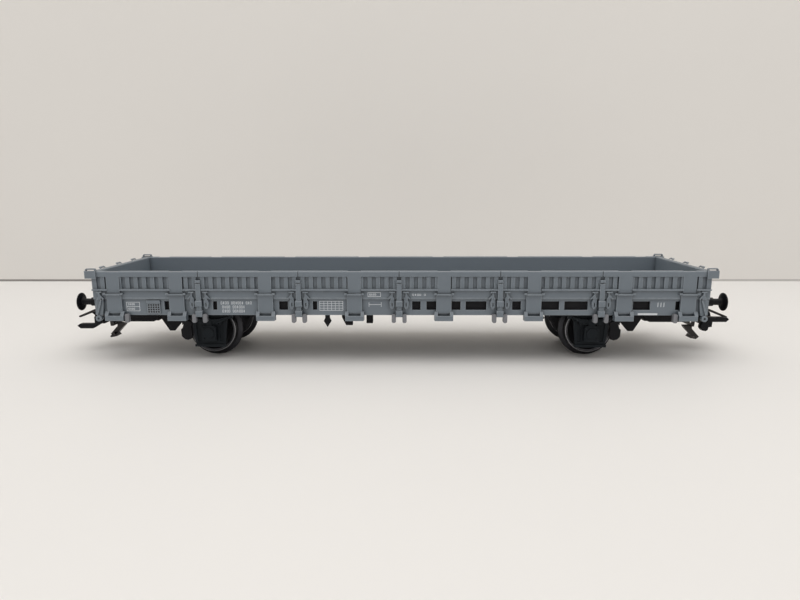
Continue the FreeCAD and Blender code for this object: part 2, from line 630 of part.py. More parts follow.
def door_stop():
    """A short rounded block on the sole bar's foot on which a lowered door comes to rest."""
    body = new_body("door_stop")
    outline = [
        ("-stop_half", "stop_top - 0.2"), ("-stop_half", "stop_foot + 0.25"), ("-stop_half + 0.25", "stop_foot"),
        ("stop_half - 0.25", "stop_foot"), ("stop_half", "stop_foot + 0.25"), ("stop_half", "stop_top - 0.2"),
        ("stop_half - 0.2", "stop_top"), ("-stop_half + 0.2", "stop_top"),
    ]
    pad(body, "XZ_Plane", [outline], "sole_web", "stop_front")
    return body


def label_holder():
    """A small frame with a mesh front on the sole bar's web."""
    body = new_body("label_holder")
    low, high = around("label_x", "label_half")
    pad(body, "XZ_Plane", [rectangle(low, high, "label_foot", "label_top")], "sole_web", "sole_web + 0.3")
    pad(body, "XZ_Plane", [rectangle(low, high, "label_top - 0.6", "label_top")], "sole_web + 0.3", "sole_web + 0.45")
    cell = rectangle("label_x - 2 * label_step - label_cell / 2", "label_x - 2 * label_step + label_cell / 2",
                     "label_foot + 0.2", "label_foot + 0.2 + label_cell")
    opening = pocket(body, "XZ_Plane", [cell], "sole_web + 0.02", "sole_web + 0.3")
    mesh = body.newObject("PartDesign::LinearPattern", "mesh")
    mesh.Originals = [opening]
    mesh.Direction = (origin(body, "X_Axis"), [""])
    mesh.setExpression("Length", cells("4 * label_step"))
    mesh.Occurrences = 5
    mesh.Direction2 = (origin(body, "Z_Axis"), [""])
    mesh.setExpression("Length2", cells("3 * 0.95 * label_step"))
    mesh.Occurrences2 = 4
    body.Tip = mesh
    doc.recompute()
    return body


def corner_eye():
    """Bracket on a corner of the walls with a low handle on top, in the wagon's own frame."""
    body = new_body("corner_eye")
    skin = rectangle("eye_inner_x", "eye_outer_x", "-(inner_face + wall_rail + 0.35)", "-(inner_face + wall_rail)")
    pad(body, "XY_Plane", [skin], "eye_foot", "wall_top + 0.1")
    block = rectangle("body_half", "eye_outer_x", "-(inner_face + wall_rail)", "-(inner_face + 0.1)")
    pad(body, "XY_Plane", [block], "eye_foot", "wall_top")
    handle = [
        ("eye_inner_x", "wall_top"), ("eye_inner_x + 0.1", "eye_top - 0.15"), ("eye_inner_x + 0.3", "eye_top"),
        ("eye_outer_x - 0.35", "eye_top"), ("eye_outer_x - 0.1", "eye_top - 0.2"),
        ("eye_outer_x", "wall_top"), ("eye_outer_x - eye_bar", "wall_top"),
        ("eye_outer_x - eye_bar - 0.15", "eye_top - eye_bar"), ("eye_inner_x + eye_bar + 0.1", "eye_top - eye_bar"),
        ("eye_inner_x + eye_bar", "wall_top"),
    ]
    pad(body, "XZ_Plane", [handle], "inner_face + 0.75", "inner_face + wall_rail")
    return body


def tie_ring():
    """A loop that slants up and out from the outside of an end wall's rail, facing -Y."""
    body = new_body("tie_ring")
    side = [
        ("-wall_rail", "wall_top - 0.6"), ("-wall_rail - ring_reach", "wall_top + ring_rise - ring_bar"),
        ("-wall_rail - ring_reach", "wall_top + ring_rise"), ("-wall_rail", "wall_top - 0.6 + ring_bar"),
    ]
    pad(body, "YZ_Plane", [side], "-ring_half", "ring_half")
    inside = [
        ("-ring_half + ring_bar", "-wall_rail"), ("-ring_half + ring_bar + 0.15", "-wall_rail - ring_reach + ring_bar"),
        ("ring_half - ring_bar - 0.15", "-wall_rail - ring_reach + ring_bar"), ("ring_half - ring_bar", "-wall_rail"),
    ]
    pocket(body, "XY_Plane", [inside], "wall_top - 1", "wall_top + ring_rise")
    return body


def walls_and_details():
    wall = finish("side_wall_right", place(side_wall(), y="-inner_face"))
    twin("side_wall_left", wall)
    end = pressed_wall("end_wall", "inner_face", "end_grooves")
    finish("end_wall_front", place(end, "quarter", x="body_half - wall_rib"))
    twin("end_wall_rear", end)
    sole = finish("sole_bar_right", place(sole_bar(), y="-inner_face"))
    twin("sole_bar_left", sole)
    beam = finish("headstock_front", place(headstock(), "quarter", x="body_half - wall_rib"))
    twin("headstock_rear", beam)

    for label, piece, spots in (
        ("stake_pockets", stake_pocket(), STAKES),
        ("door_posts", door_post(), POSTS),
        ("door_latches", latch_pair(), POSTS),
        ("corner_latches", corner_latch(), ["0"]),
        ("door_stops", door_stop(), ["-stop_end_x", "stop_end_x"]
         + [f"{x} {sign} stop_offset" for x in POSTS for sign in "+-"]),
        ("label_holder", label_holder(), ["0"]),
    ):
        right = finish(f"{label}_right", group(f"{label}_right", piece, [(x, "-inner_face") for x in spots]))
        twin(f"{label}_left", right)

    eye = corner_eye()
    opposite = doc.addObject("Part::Mirroring", "opposite_corner_eye")
    opposite.Source = eye
    opposite.Normal = Vector(0, 1, 0)
    eyes = doc.addObject("Part::Compound", "corner_eyes")
    eyes.Links = [linked(eye), linked(opposite), linked(eye, "half"), linked(opposite, "half")]
    finish("corner_eyes", eyes)
    ring = tie_ring()
    rings = doc.addObject("Part::Compound", "tie_rings")
    rings.Links = [
        linked(ring, turn, x=f"{sign}(body_half - wall_rib)", y=f"{k} * ring_pitch")
        for turn, sign in (("quarter", ""), ("three_quarter", "-")) for k in (-1, 0, 1)
    ]
    finish("tie_rings", rings)


# ---- buffers, wheels and axles ----

def buffers():
    """Head, plunger and sleeve in one turned piece, with a stub for the headstock's hole."""
    body = new_body("buffer")
    root = "body_half + pad_thick"
    outline = [
        ("body_half - wall_rib + 0.1", "0"), ("body_half - wall_rib + 0.1", "buffer_stub"), (root, "buffer_stub"),
        (root, "buffer_sleeve + 0.25"), (f"{root} + 0.35", "buffer_sleeve + 0.25"),
        (f"{root} + 0.55", "buffer_sleeve"), ("buffer_face_x - 3.1", "buffer_sleeve"),
        ("buffer_face_x - 3.1", "buffer_plunger"), ("buffer_face_x - 1.0", "buffer_plunger"),
        ("buffer_face_x - 0.72", "buffer_head - 0.25"), ("buffer_face_x - 0.62", "buffer_head"),
        ("buffer_face_x - 0.35", "buffer_head"), ("buffer_face_x - 0.15", "buffer_head * 0.72"),
        ("buffer_face_x - 0.03", "buffer_head * 0.36"), ("buffer_face_x", "0"),
    ]
    revolve(body, "XZ_Plane", outline)
    for end, sign, turn in (("front", "", "none"), ("rear", "-", "half")):
        for side, y in (("right", "-buffer_y"), ("left", "buffer_y")):
            compound = doc.addObject("Part::Compound", f"buffer_{end}_{side}")
            compound.Links = [linked(body, turn, y=y, z="buffer_z")]
            finish(f"buffer_{end}_{side}", compound)


def wheelsets():
    """Two wheels pressed on a plain axle with end pivots, for each end."""
    wheel = new_body("wheel")
    revolve(wheel, "YZ_Plane", [
        ("wheel_back", "axle_radius"), ("wheel_back", "flange_radius - 0.4"),
        ("wheel_back + 0.12", "flange_radius - 0.08"),
        ("wheel_back + 0.32", "flange_radius"), ("wheel_back + 0.55", "flange_radius - 0.12"),
        ("wheel_back + 0.9", "tread_radius + 0.3"), ("wheel_back + 1.15", "tread_radius + 0.08"),
        ("wheel_face - 0.2", "tread_radius - 0.02"), ("wheel_face", "tread_radius - 0.2"),
        ("wheel_face", "tread_radius - 0.75"), ("wheel_face - 0.55", "tread_radius - 0.95"),
        ("wheel_face - 0.85", "wheel_web"), ("wheel_face - 0.35", "wheel_hub"), ("wheel_face - 0.25", "axle_radius"),
    ])
    axle = new_body("axle")
    revolve(axle, "YZ_Plane", [
        ("-axle_end", "0"), ("-axle_end + 0.15", "pivot_radius"), ("-guard_inner + 0.25", "pivot_radius"),
        ("-guard_inner + 0.25", "journal_radius"), ("-wheel_face - 0.35", "journal_radius"),
        ("-wheel_face - 0.35", "axle_radius"), ("wheel_face + 0.35", "axle_radius"),
        ("wheel_face + 0.35", "journal_radius"), ("guard_inner - 0.25", "journal_radius"),
        ("guard_inner - 0.25", "pivot_radius"), ("axle_end - 0.15", "pivot_radius"), ("axle_end", "0"),
    ])
    for end, x in (("front", "axle_x"), ("rear", "-axle_x")):
        for label, piece, turn in (
            (f"axle_{end}", axle, "none"), (f"wheel_{end}_left", wheel, "none"), (f"wheel_{end}_right", wheel, "half"),
        ):
            compound = doc.addObject("Part::Compound", label)
            compound.Links = [linked(piece, turn, x=x, z="axle_z")]
            finish(label, compound)


# ---- axle guards: modelled facing -Y with X = 0 at the axle and Z = 0 at its centre ----

LEAVES, LONGEST_LEAF, LEAF_STEP = 5, 5.6, 0.85  # leaves, half length of the top one, shortening of the next
LEAF_BOW = 0.028  # rise of a leaf per square millimetre of its half length


def axle_guard():
    """Guard plate with axle box, box cover and leaf spring."""
    body = new_body("axle_guard")
    plate = [
        ("-guard_top_half", "bay_roof - axle_z"), ("-guard_top_half", "3.9"), ("-guard_low_half", "-2.95"),
        ("-guard_low_half - 0.15", "guard_foot - axle_z"), ("guard_low_half + 0.15", "guard_foot - axle_z"),
        ("guard_low_half", "-2.95"), ("guard_top_half", "3.9"), ("guard_top_half", "bay_roof - axle_z"),
    ]
    pad(body, "XZ_Plane", [plate], "guard_inner", "guard_outer")
    panels = [
        [("-2.3", "-2.5"), ("-2.3", "1.2"), ("-3.5", "3.2"), ("-3.1", "-2.5")],
        [("2.3", "-2.5"), ("3.1", "-2.5"), ("3.5", "3.2"), ("2.3", "1.2")],
    ]
    pocket(body, "XZ_Plane", panels, "guard_outer - 0.25", "guard_outer")
    tie = rectangle("-guard_low_half - 0.15", "guard_low_half + 0.15",
                    "guard_foot - axle_z", "guard_foot - axle_z + 0.6")
    pad(body, "XZ_Plane", [tie], "guard_outer", "guard_outer + 0.3")
    box = [
        ("-box_half", "-1.9"), ("-box_half + 0.3", "-2.2"), ("box_half - 0.3", "-2.2"), ("box_half", "-1.9"),
        ("box_half", "1.1"), ("box_half - 0.4", "1.7"), ("-box_half + 0.4", "1.7"), ("-box_half", "1.1"),
    ]
    pad(body, "XZ_Plane", [box], "guard_outer", "box_front")
    pad(body, "XZ_Plane", [("circle", "0", "-0.1", "box_cover")], "box_front", "box_front + 0.25")
    bolts = [("circle", x, z, "bolt_radius") for x in ("-1.3", "1.3") for z in ("-1.55", "1.05")]
    pad(body, "XZ_Plane", bolts, "box_front", "box_front + 0.2")
    buckle = rectangle("-0.75", "0.75", "1.7", f"2.1 + {LEAVES} * spring_leaf")
    pad(body, "XZ_Plane", [buckle], "guard_outer", "guard_outer + 0.95")
    for leaf in range(LEAVES):
        reach = LONGEST_LEAF - LEAF_STEP * (LEAVES - 1 - leaf)
        foot = f"1.85 + {leaf} * spring_leaf"
        rise = LEAF_BOW * reach * reach
        outline = [
            ("0", foot), (f"{reach / 2}", f"{foot} + {rise / 4}"), (f"{reach}", f"{foot} + {rise}"),
            (f"{reach}", f"{foot} + spring_leaf + {rise}"), (f"{reach / 2}", f"{foot} + spring_leaf + {rise / 4}"),
            ("0", f"{foot} + spring_leaf"),
            (f"{-reach / 2}", f"{foot} + spring_leaf + {rise / 4}"), (f"{-reach}", f"{foot} + spring_leaf + {rise}"),
            (f"{-reach}", f"{foot} + {rise}"), (f"{-reach / 2}", f"{foot} + {rise / 4}"),
        ]
        pad(body, "XZ_Plane", [outline], "guard_outer", "guard_outer + 0.7")
    shackle = [
        ("5.0", "3.4"), ("5.75", "3.4"), ("5.75", "4.6"), ("5.2", "bay_roof - axle_z"), ("4.4", "bay_roof - axle_z"),
        ("4.4", "6.3"),
    ]
    link = pad(body, "XZ_Plane", [shackle], "guard_outer - 0.3", "guard_outer + 0.7")
    mirrored(body, [link], "YZ_Plane")
    pocket(body, "XZ_Plane", [("circle", "0", "0", "bearing_radius")], "guard_inner", "axle_end + 0.2")
    return body


def axle_guards():
    guard = axle_guard()
    for end, x in (("front", "axle_x"), ("rear", "-axle_x")):
        for side, turn in (("right", "none"), ("left", "half")):
            compound = doc.addObject("Part::Compound", f"axle_guard_{end}_{side}")
            compound.Links = [linked(guard, turn, x=x, z="axle_z")]
            finish(f"axle_guard_{end}_{side}", compound)


# ---- underframe: modelled in the wagon's own frame ----

def underframe_centre():
    """The black frame between the wheels, with a tray for the ballast weight."""
    body = new_body("underframe_centre")
    pad(body, "XY_Plane", [rectangle("-bay_x", "bay_x", "-frame_half_y", "frame_half_y")], "frame_foot", "deck_foot")
    tray = rectangle("-ballast_x - ballast_gap", "ballast_x + ballast_gap",
                     "-ballast_y - ballast_gap", "ballast_y + ballast_gap")
    pocket(body, "XY_Plane", [tray], "deck_foot - ballast_thick - ballast_gap", "deck_foot")
    beams = [rectangle("-bay_x", "bay_x", *around(y, "beam_half")) for y in ("-beam_y", "beam_y")]
    pad(body, "XY_Plane", beams, "beam_foot", "frame_foot")
    cross = []
    for x in POSTS[1:4]:
        for low, high in (
            ("-cross_reach", "-beam_y - beam_half"), ("-beam_y + beam_half", "beam_y - beam_half"),
            ("beam_y + beam_half", "cross_reach"),
        ):
            cross.append(rectangle(*around(x, "cross_half"), low, high))
    pad(body, "XY_Plane", cross, "beam_foot + 0.3", "frame_foot")
    return finish("underframe_centre", body)


def underframe_end():
    """Roof over one pair of wheels, with skirts behind the sole bars and a boss for the coupler housing."""
    body = new_body("underframe_end")
    far = "body_half - wall_rib"
    pad(body, "XY_Plane", [rectangle("bay_x", far, "-frame_half_y", "frame_half_y")], "bay_roof", "deck_foot")
    skirts = [
        rectangle("bay_x", far, "-frame_half_y", "-frame_half_y + skirt_thick"),
        rectangle("bay_x", far, "frame_half_y - skirt_thick", "frame_half_y"),
    ]
    pad(body, "XY_Plane", skirts, "frame_foot", "bay_roof")
    beams = [rectangle("housing_front_x", far, *around(y, "beam_half")) for y in ("-beam_y", "beam_y")]
    pad(body, "XY_Plane", beams, "frame_foot + 0.6", "bay_roof")
    diagonals = []
    for side in (-1, 1):
        near, outer = f"{side} * diagonal_y", f"{side} * diagonal_end_y"
        diagonals.append([("diagonal_x", near), ("diagonal_x + 1.2", near), (far, f"{outer} - {side} * 0.9"),
                          (far, outer), (f"{far} - 0.4", outer)][::side])
    pad(body, "XY_Plane", diagonals, "bay_roof - diagonal_deep", "bay_roof")
    front = finish("underframe_end_front", body)
    twin("underframe_end_rear", front)


def ballast_weight():
    """A plain steel bar in the frame's tray."""
    body = new_body("ballast")
    pad(body, "XY_Plane", [rectangle("-ballast_x", "ballast_x", "-ballast_y", "ballast_y")],
        "deck_foot - ballast_thick - ballast_gap", "deck_foot - ballast_gap")
    return finish("ballast_weight", body)


def brake_gear():
    """Blocks, hangers and pull rods at each wheel, and the handles at the wagon's middle."""
    shoe = new_body("brake_shoe")
    block = [
        ("6.1", "-2.35"), ("6.25", "-1.2"), ("6.3", "0"), ("6.1", "1.5"), ("5.95", "2.1"),
        ("6.9", "2.1"), ("7.5", "1.2"), ("7.75", "0.2"), ("7.75", "-0.9"), ("7.3", "-2.0"), ("6.8", "-2.35"),
    ]
    pad(shoe, "XZ_Plane", [block], "shoe_inner", "shoe_outer")
    holder = [
        ("6.2", "-2.5"), ("5.3", "-2.2"), ("5.0", "-0.8"), ("5.2", "0.6"), ("4.9", "1.9"), ("6.2", "2.6"),
        ("7.2", "2.3"), ("7.0", "0.9"), ("7.8", "0.2"), ("7.7", "-1.6"), ("7.0", "-2.3"),
    ]
    pad(shoe, "XZ_Plane", [holder], "shoe_holder_inner", "shoe_holder_outer")
    pad(shoe, "XZ_Plane", [rectangle("6.3", "7.1", "-1.5", "0")], "shoe_outer", "shoe_holder_inner")
    hanger = [("7.1", "1.5"), ("7.9", "1.0"), ("8.3", "bay_roof - axle_z"), ("7.5", "bay_roof - axle_z")]
    pad(shoe, "XZ_Plane", [hanger], "shoe_hanger_inner", "shoe_hanger_outer")
    tie = rectangle("7.1", "7.7", "-1.3", "-0.7")
    pad(shoe, "XZ_Plane", [tie], "0", "shoe_inner")
    rod = new_body("pull_rod")
    bar = [
        ("-9.7", "frame_foot - axle_z"), ("-9.5", "3.0"), ("-7.3", "-0.9"), ("-6.9", "-0.7"), ("-9.1", "3.2"),
        ("-9.1", "frame_foot - axle_z"),
    ]
    pad(rod, "XZ_Plane", [bar], "rod_inner", "rod_outer")
    hanger = [
        ("8.6", "bay_roof - axle_z"), ("8.75", "1.5"), ("11.1", "-1.2"), ("12.4", "-1.2"), ("14.6", "2.4"),
        ("14.75", "bay_roof - axle_z"),
    ]
    bracket = new_body("brake_bracket")
    pad(bracket, "XZ_Plane", [hanger], "bracket_inner", "bracket_outer")
    opposite = {}
    for piece in (shoe, rod, bracket):
        opposite[piece.Name] = doc.addObject("Part::Mirroring", f"opposite_{piece.Name}")
        opposite[piece.Name].Source = piece
        opposite[piece.Name].Normal = Vector(0, 1, 0)
    shoes = doc.addObject("Part::Fuse", "shoe_pair")
    shoes.Base = shoe
    shoes.Tool = opposite[shoe.Name]
    pieces = [shoes, rod, opposite[rod.Name], bracket, opposite[bracket.Name]]
    gear = doc.addObject("Part::Compound", "brake_gear_front")
    gear.Links = [linked(piece, x="axle_x", z="axle_z") for piece in pieces]
    doc.recompute()
    finish("brake_gear_front", gear)
    twin("brake_gear_rear", gear)

    handle = new_body("brake_handle")
    outline = [
        ("-18.05", "frame_foot"), ("-18.05", "10.3"), ("-18.42", "9.5"), ("-17.5", "7.97"), ("-16.52", "9.5"),
        ("-16.9", "10.3"), ("-16.9", "frame_foot"),
    ]
    pad(handle, "XZ_Plane", [outline], "handle_inner", "handle_outer")
    cylinder = new_body("brake_cylinder")
    block = [
        ("-14.5", "frame_foot"), ("-14.4", "9.6"), ("-13.4", "7.6"), ("-11.75", "7.6"), ("-11.75", "frame_foot"),
    ]
    pad(cylinder, "XZ_Plane", [block], "cylinder_inner", "cylinder_outer")
    lever = rectangle("-8.3", "-6.7", "8.1", "frame_foot")
    pad(cylinder, "XZ_Plane", [lever], "lever_inner", "cylinder_outer")
    gear = doc.addObject("Part::Compound", "brake_handles")
    gear.Links = [linked(handle), linked(cylinder), linked(handle, "half"), linked(cylinder, "half")]
    doc.recompute()
    finish("brake_handles", gear)


# ---- couplers: modelled at the front end ----

def coupler_housing():
    """Housing with the pivot post, its cover and the cover's screw."""
    body = new_body("coupler_housing")
    outline = rectangle("housing_rear_x", "housing_front_x", "-housing_half", "housing_half")
    pad(body, "XY_Plane", [outline], "housing_roof", "bay_roof")
    walls = [
        ("housing_rear_x", "-housing_half"), ("housing_front_x", "-housing_half"),
        ("housing_front_x", "-housing_half + housing_wall"),
        ("housing_rear_x + housing_back", "-housing_half + housing_wall"),
        ("housing_rear_x + housing_back", "housing_half - housing_wall"),
        ("housing_front_x", "housing_half - housing_wall"),
        ("housing_front_x", "housing_half"), ("housing_rear_x", "housing_half"),
    ]
    pad(body, "XY_Plane", [walls], "housing_foot", "housing_roof")
    pad(body, "XY_Plane", [("circle", "pivot_x", "0", "pivot_radius_post")], "housing_foot", "housing_roof")
    clip = rectangle("housing_rear_x + housing_back", "housing_rear_x + housing_back + clip_thick",
                     "-clip_half", "clip_half")
    pad(body, "XY_Plane", [clip], "housing_foot + 0.4", "housing_roof")
    pocket(body, "XY_Plane", [("circle", "pivot_x", "0", "screw_hole")], "housing_foot", "housing_roof + 1.6")
    front = finish("coupler_housing_front", body)
    twin("coupler_housing_rear", front)

    cover = new_body("housing_cover")
    pad(cover, "XY_Plane", [outline], "cover_foot + 0.4", "housing_foot")
    rim = [
        ("housing_rear_x + 1.5", "-housing_half + 0.6"), ("housing_front_x - 1", "-housing_half + 0.6"),
        ("housing_front_x - 0.4", "-housing_half + 1.2"), ("housing_front_x - 0.4", "housing_half - 1.2"),
        ("housing_front_x - 1", "housing_half - 0.6"), ("housing_rear_x + 1.5", "housing_half - 0.6"),
    ]
    pad(cover, "XY_Plane", [rim], "cover_foot", "cover_foot + 0.4")
    pocket(cover, "XY_Plane", [("circle", "pivot_x", "0", "screw_hole")], "cover_foot", "housing_foot")
    pocket(cover, "XY_Plane", [("circle", "pivot_x", "0", "screw_head + 0.05")], "cover_foot", "cover_foot + 0.3")
    front = finish("housing_cover_front", cover)
    twin("housing_cover_rear", front)

    screw = new_body("cover_screw")
    pad(screw, "XY_Plane", [("circle", "pivot_x", "0", "screw_radius")], "cover_foot + 0.3", "housing_roof + 1.5")
    pad(screw, "XY_Plane", [("circle", "pivot_x", "0", "screw_head")], "cover_foot - 0.3", "cover_foot + 0.3")
    pocket(screw, "XY_Plane", [rectangle("pivot_x - 0.8", "pivot_x + 0.8", "-0.15", "0.15")],
           "cover_foot - 0.3", "cover_foot - 0.05")
    front = finish("cover_screw_front", screw)
    twin("cover_screw_rear", front)


def centring_spring():
    """A bowed steel leaf: its middle is clipped to the housing and its ends bear on the drawbar's tail."""
    body = new_body("centring_spring")
    near = "housing_rear_x + housing_back + clip_thick"
    inner = [("0", "clip_half"), ("0.22", "2.2"), ("0.42", "2.9")]
    outer = [("0.42 + spring_gauge", "2.85"), ("0.22 + spring_gauge", "2.1"), ("spring_gauge", "clip_half - 0.05")]
    half_leaf = inner + outer
    leaf = [(f"{near} + {x}", y) for x, y in half_leaf] + [(f"{near} + {x}", f"-{y}") for x, y in half_leaf[::-1]]
    pad(body, "XY_Plane", [leaf], "housing_foot + 0.55", "housing_roof - 0.35")
    front = finish("centring_spring_front", body)
    twin("centring_spring_rear", front)


def coupler_drawbar():
    """Arm from the pivot post to the pocket in which the coupler is plugged."""
    body = new_body("coupler_drawbar")
    pad(body, "XY_Plane", [("circle", "pivot_x", "0", "drawbar_boss")], "drawbar_foot", "drawbar_top")
    tail = [
        ("pivot_x - 1.9", "-1.4"), ("pivot_x - 1.9", "1.4"), ("pivot_x - 2.25", "2.75"), ("pivot_x - 1.95", "2.9"),
        ("pivot_x - 1.0", "1.7"), ("pivot_x - 1.0", "-1.7"), ("pivot_x - 1.95", "-2.9"), ("pivot_x - 2.25", "-2.75"),
    ]
    pad(body, "XY_Plane", [tail], "drawbar_foot + 0.3", "drawbar_top - 0.1")
    arm = rectangle("pivot_x + 1.5", "pocket_back_x - 0.7", "-drawbar_half", "drawbar_half")
    pad(body, "XY_Plane", [arm], "drawbar_foot", "drawbar_top")
    width = "pocket_half + pocket_wall"
    block = [
        ("pocket_back_x - 0.7", f"-({width})"), ("pocket_mouth_x", f"-({width})"), ("pocket_mouth_x", width),
        ("pocket_back_x - 0.7", width),
    ]
    pad(body, "XY_Plane", [block], "pocket_low - pocket_wall", "drawbar_top")
    pocket(body, "XY_Plane", [("circle", "pivot_x", "0", "drawbar_eye")], "drawbar_foot", "drawbar_top")
    inside = rectangle("-pocket_half", "pocket_half", "pocket_low", "pocket_high")
    pocket(body, "YZ_Plane", [inside], "pocket_back_x", "pocket_mouth_x")
    front = finish("coupler_drawbar_front", body)
    twin("coupler_drawbar_rear", front)


def coupler_head():
    """Plug-in shank, crossbar, a low horn on the left, a high horn on the right and a hook between them."""
    body = new_body("coupler_head")
    low, high = "pocket_low + shank_gap", "pocket_high - shank_gap"
    half = "pocket_half - shank_gap"
    pad(body, "XZ_Plane", [rectangle("pocket_back_x + 0.1", "head_back_x", low, high)], f"-({half})", half)
    bar = rectangle("head_back_x", "head_front_x", "bar_foot", "bar_top")
    pad(body, "XZ_Plane", [bar], "-head_inner", "head_inner")
    left = [
        ("head_back_x - 0.4", "7.5"), ("79.3", "5.8"), ("82.6", "5.8"), ("horn_tip_x", "6.5"),
        ("horn_tip_x - 0.7", "7.0"), ("head_front_x", "7.0"), ("head_front_x", "bar_top"), ("head_back_x", "bar_top"),
    ]
    pad(body, "XZ_Plane", [left], "-head_outer", "-head_inner")
    right = [
        ("head_back_x - 0.5", "6.7"), ("head_back_x - 0.5", "6.0"), ("head_back_x", "5.4"),
        ("head_back_x + 0.9", "5.25"),
        ("78.3", "5.6"), ("78.4", "6.25"), ("79.2", "6.35"), ("79.3", "7.65"), ("82.7", "7.65"),
        ("horn_tip_x", "8.3"), ("horn_tip_x - 0.5", "8.8"), ("head_back_x", "bar_top"), ("head_back_x", "7.4"),
    ]
    pad(body, "XZ_Plane", [right], "head_inner", "head_outer")
    hook = [
        ("head_front_x", "bar_foot"), ("79.6", "bar_foot"), ("80.7", "8.0"), ("80.3", "9.5"), ("79.9", "9.5"),
        ("79.7", "bar_top"), ("head_front_x", "bar_top"),
    ]
    pad(body, "XZ_Plane", [hook], "-hook_half", "hook_half")
    pocket(body, "XZ_Plane", [("circle", "pin_x", "pin_z", "pin_hole")], f"-({half})", half)
    front = finish("coupler_head_front", body)
    twin("coupler_head_rear", front)

    pin = new_body("loop_pin")
    pad(pin, "XZ_Plane", [("circle", "pin_x", "pin_z", "pin_radius")], "-arm_outer - 0.1", "arm_outer + 0.1")
    front = finish("loop_pin_front", pin)
    twin("loop_pin_rear", front)


def coupler_loop():
    """The lifting loop with its two eyes, and the leg by which it is raised."""
    body = new_body("coupler_loop")
    arm = [
        ("pin_x - 0.75", "bridge_foot"), ("pin_x - 0.1", "bridge_foot"), ("pin_x + 0.05", "7.7"),
        ("pin_x + 0.65", "8.2"),
        ("pin_x + 0.75", "9.1"), ("76.6", "9.55"), ("79.0", "10.1"), ("83.1", "8.4"), ("loop_tip_x", "8.45"),
        ("loop_tip_x", "8.8"), ("79.15", "10.65"), ("76.2", "10.1"), ("pin_x - 0.3", "9.25"), ("pin_x - 0.75", "8.8"),
    ]
    right = pad(body, "XZ_Plane", [arm], "arm_inner", "arm_outer")
    mirrored(body, [right], "XZ_Plane")
    pocket(body, "XZ_Plane", [("circle", "pin_x", "pin_z", "pin_hole")], "-arm_outer", "arm_outer")
    tip = [
        ("82.62", "8.6"), ("83.1", "8.4"), ("loop_tip_x", "8.45"), ("loop_tip_x", "8.8"), ("82.8", "9.14"),
    ]
    pad(body, "XZ_Plane", [tip], "-arm_inner", "arm_inner")
    bridge = rectangle("pin_x - 0.75", "pin_x - 0.1", "bridge_foot", "bridge_foot + bridge_height")
    pad(body, "XZ_Plane", [bridge], "-arm_inner", "arm_inner")
    leg = [
        ("pin_x - 0.1", "bridge_foot"), ("pin_x - 2.3", "bridge_foot"), ("pin_x - 2.1", "5.6"), ("75.6", "3.4"),
        ("75.2", "2.8"), ("76.75", "2.5"), ("77.5", "3.15"), ("75.5", "5.3"),
    ]
    pad(body, "XZ_Plane", [leg], "leg_inner", "leg_outer")
    foot = [("75.6", "3.4"), ("75.2", "2.8"), ("76.75", "2.5"), ("77.1", "2.8"), ("76.1", "3.7")]
    pad(body, "XZ_Plane", [foot], "-0.8", "leg_inner")
    front = finish("coupler_loop_front", body)
    twin("coupler_loop_rear", front)


walls_and_details()
deck()
underframe_centre()
underframe_end()
ballast_weight()
brake_gear()
coupler_housing()
centring_spring()
coupler_drawbar()
coupler_head()
coupler_loop()
buffers()
wheelsets()
axle_guards()


def export():
    """Checks every object and writes one STEP file for each sub-part."""
    doc.recompute()
    for item in doc.Objects:
        if {"Invalid", "Error"} & set(item.State):
            raise RuntimeError(f"{item.Name} ({item.Label}) failed: {item.State}")
    os.makedirs("parts", exist_ok=True)
    for item in finished:
        shape = item.Shape
        if shape.isNull() or not shape.isValid() or not shape.Solids:
            raise RuntimeError(f"{item.Label} has no valid solid")
        shape.exportStep(f"parts/{item.Label}.step")
        print(f"{item.Label}: {len(shape.Solids)} solid(s), {shape.Volume:.2f} mm3")


export()
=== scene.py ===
# %% [markdown]
# # A low-sided flat wagon in 1:87
# The wagon is an assembly of moulded plastic parts, turned metal wheels and bent wire couplers.
# Its exact shapes come from CAD, and this notebook gives them their looks: rounded moulded edges,
# turned wheels and buffers, printed marks, and materials worked out by nodes.
# Everything is in metres in the CAD's own frame: X along the wagon, +Y to its left, Z up.
# So nothing has to be fitted. The frame is loaded first.

# %% Load the frame
import json
from math import pi, radians

import bmesh
import bpy
from mathutils import Matrix, Vector


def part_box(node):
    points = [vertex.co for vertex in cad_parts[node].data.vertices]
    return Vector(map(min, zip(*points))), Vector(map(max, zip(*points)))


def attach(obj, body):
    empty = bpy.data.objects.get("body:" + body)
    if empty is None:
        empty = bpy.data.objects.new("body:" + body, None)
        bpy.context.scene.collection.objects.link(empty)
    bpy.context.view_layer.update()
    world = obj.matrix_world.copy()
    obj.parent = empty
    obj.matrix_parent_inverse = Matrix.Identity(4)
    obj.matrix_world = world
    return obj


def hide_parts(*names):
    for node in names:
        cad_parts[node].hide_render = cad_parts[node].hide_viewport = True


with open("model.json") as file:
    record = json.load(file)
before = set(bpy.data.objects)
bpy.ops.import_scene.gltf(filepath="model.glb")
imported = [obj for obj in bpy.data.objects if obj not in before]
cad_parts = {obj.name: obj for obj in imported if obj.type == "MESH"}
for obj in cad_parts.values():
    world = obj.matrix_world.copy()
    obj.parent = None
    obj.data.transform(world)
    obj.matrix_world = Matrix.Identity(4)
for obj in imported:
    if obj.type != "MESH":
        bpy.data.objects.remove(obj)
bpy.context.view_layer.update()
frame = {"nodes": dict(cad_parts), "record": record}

MM = 0.001
NODES = frame["nodes"]
BODY_OF = {node: body for body, nodes in frame["record"]["behaviour"]["bodies"].items() for node in nodes}
SLOT_OF = {part["node"]: part["material_slot"] for part in frame["record"]["subparts"]}


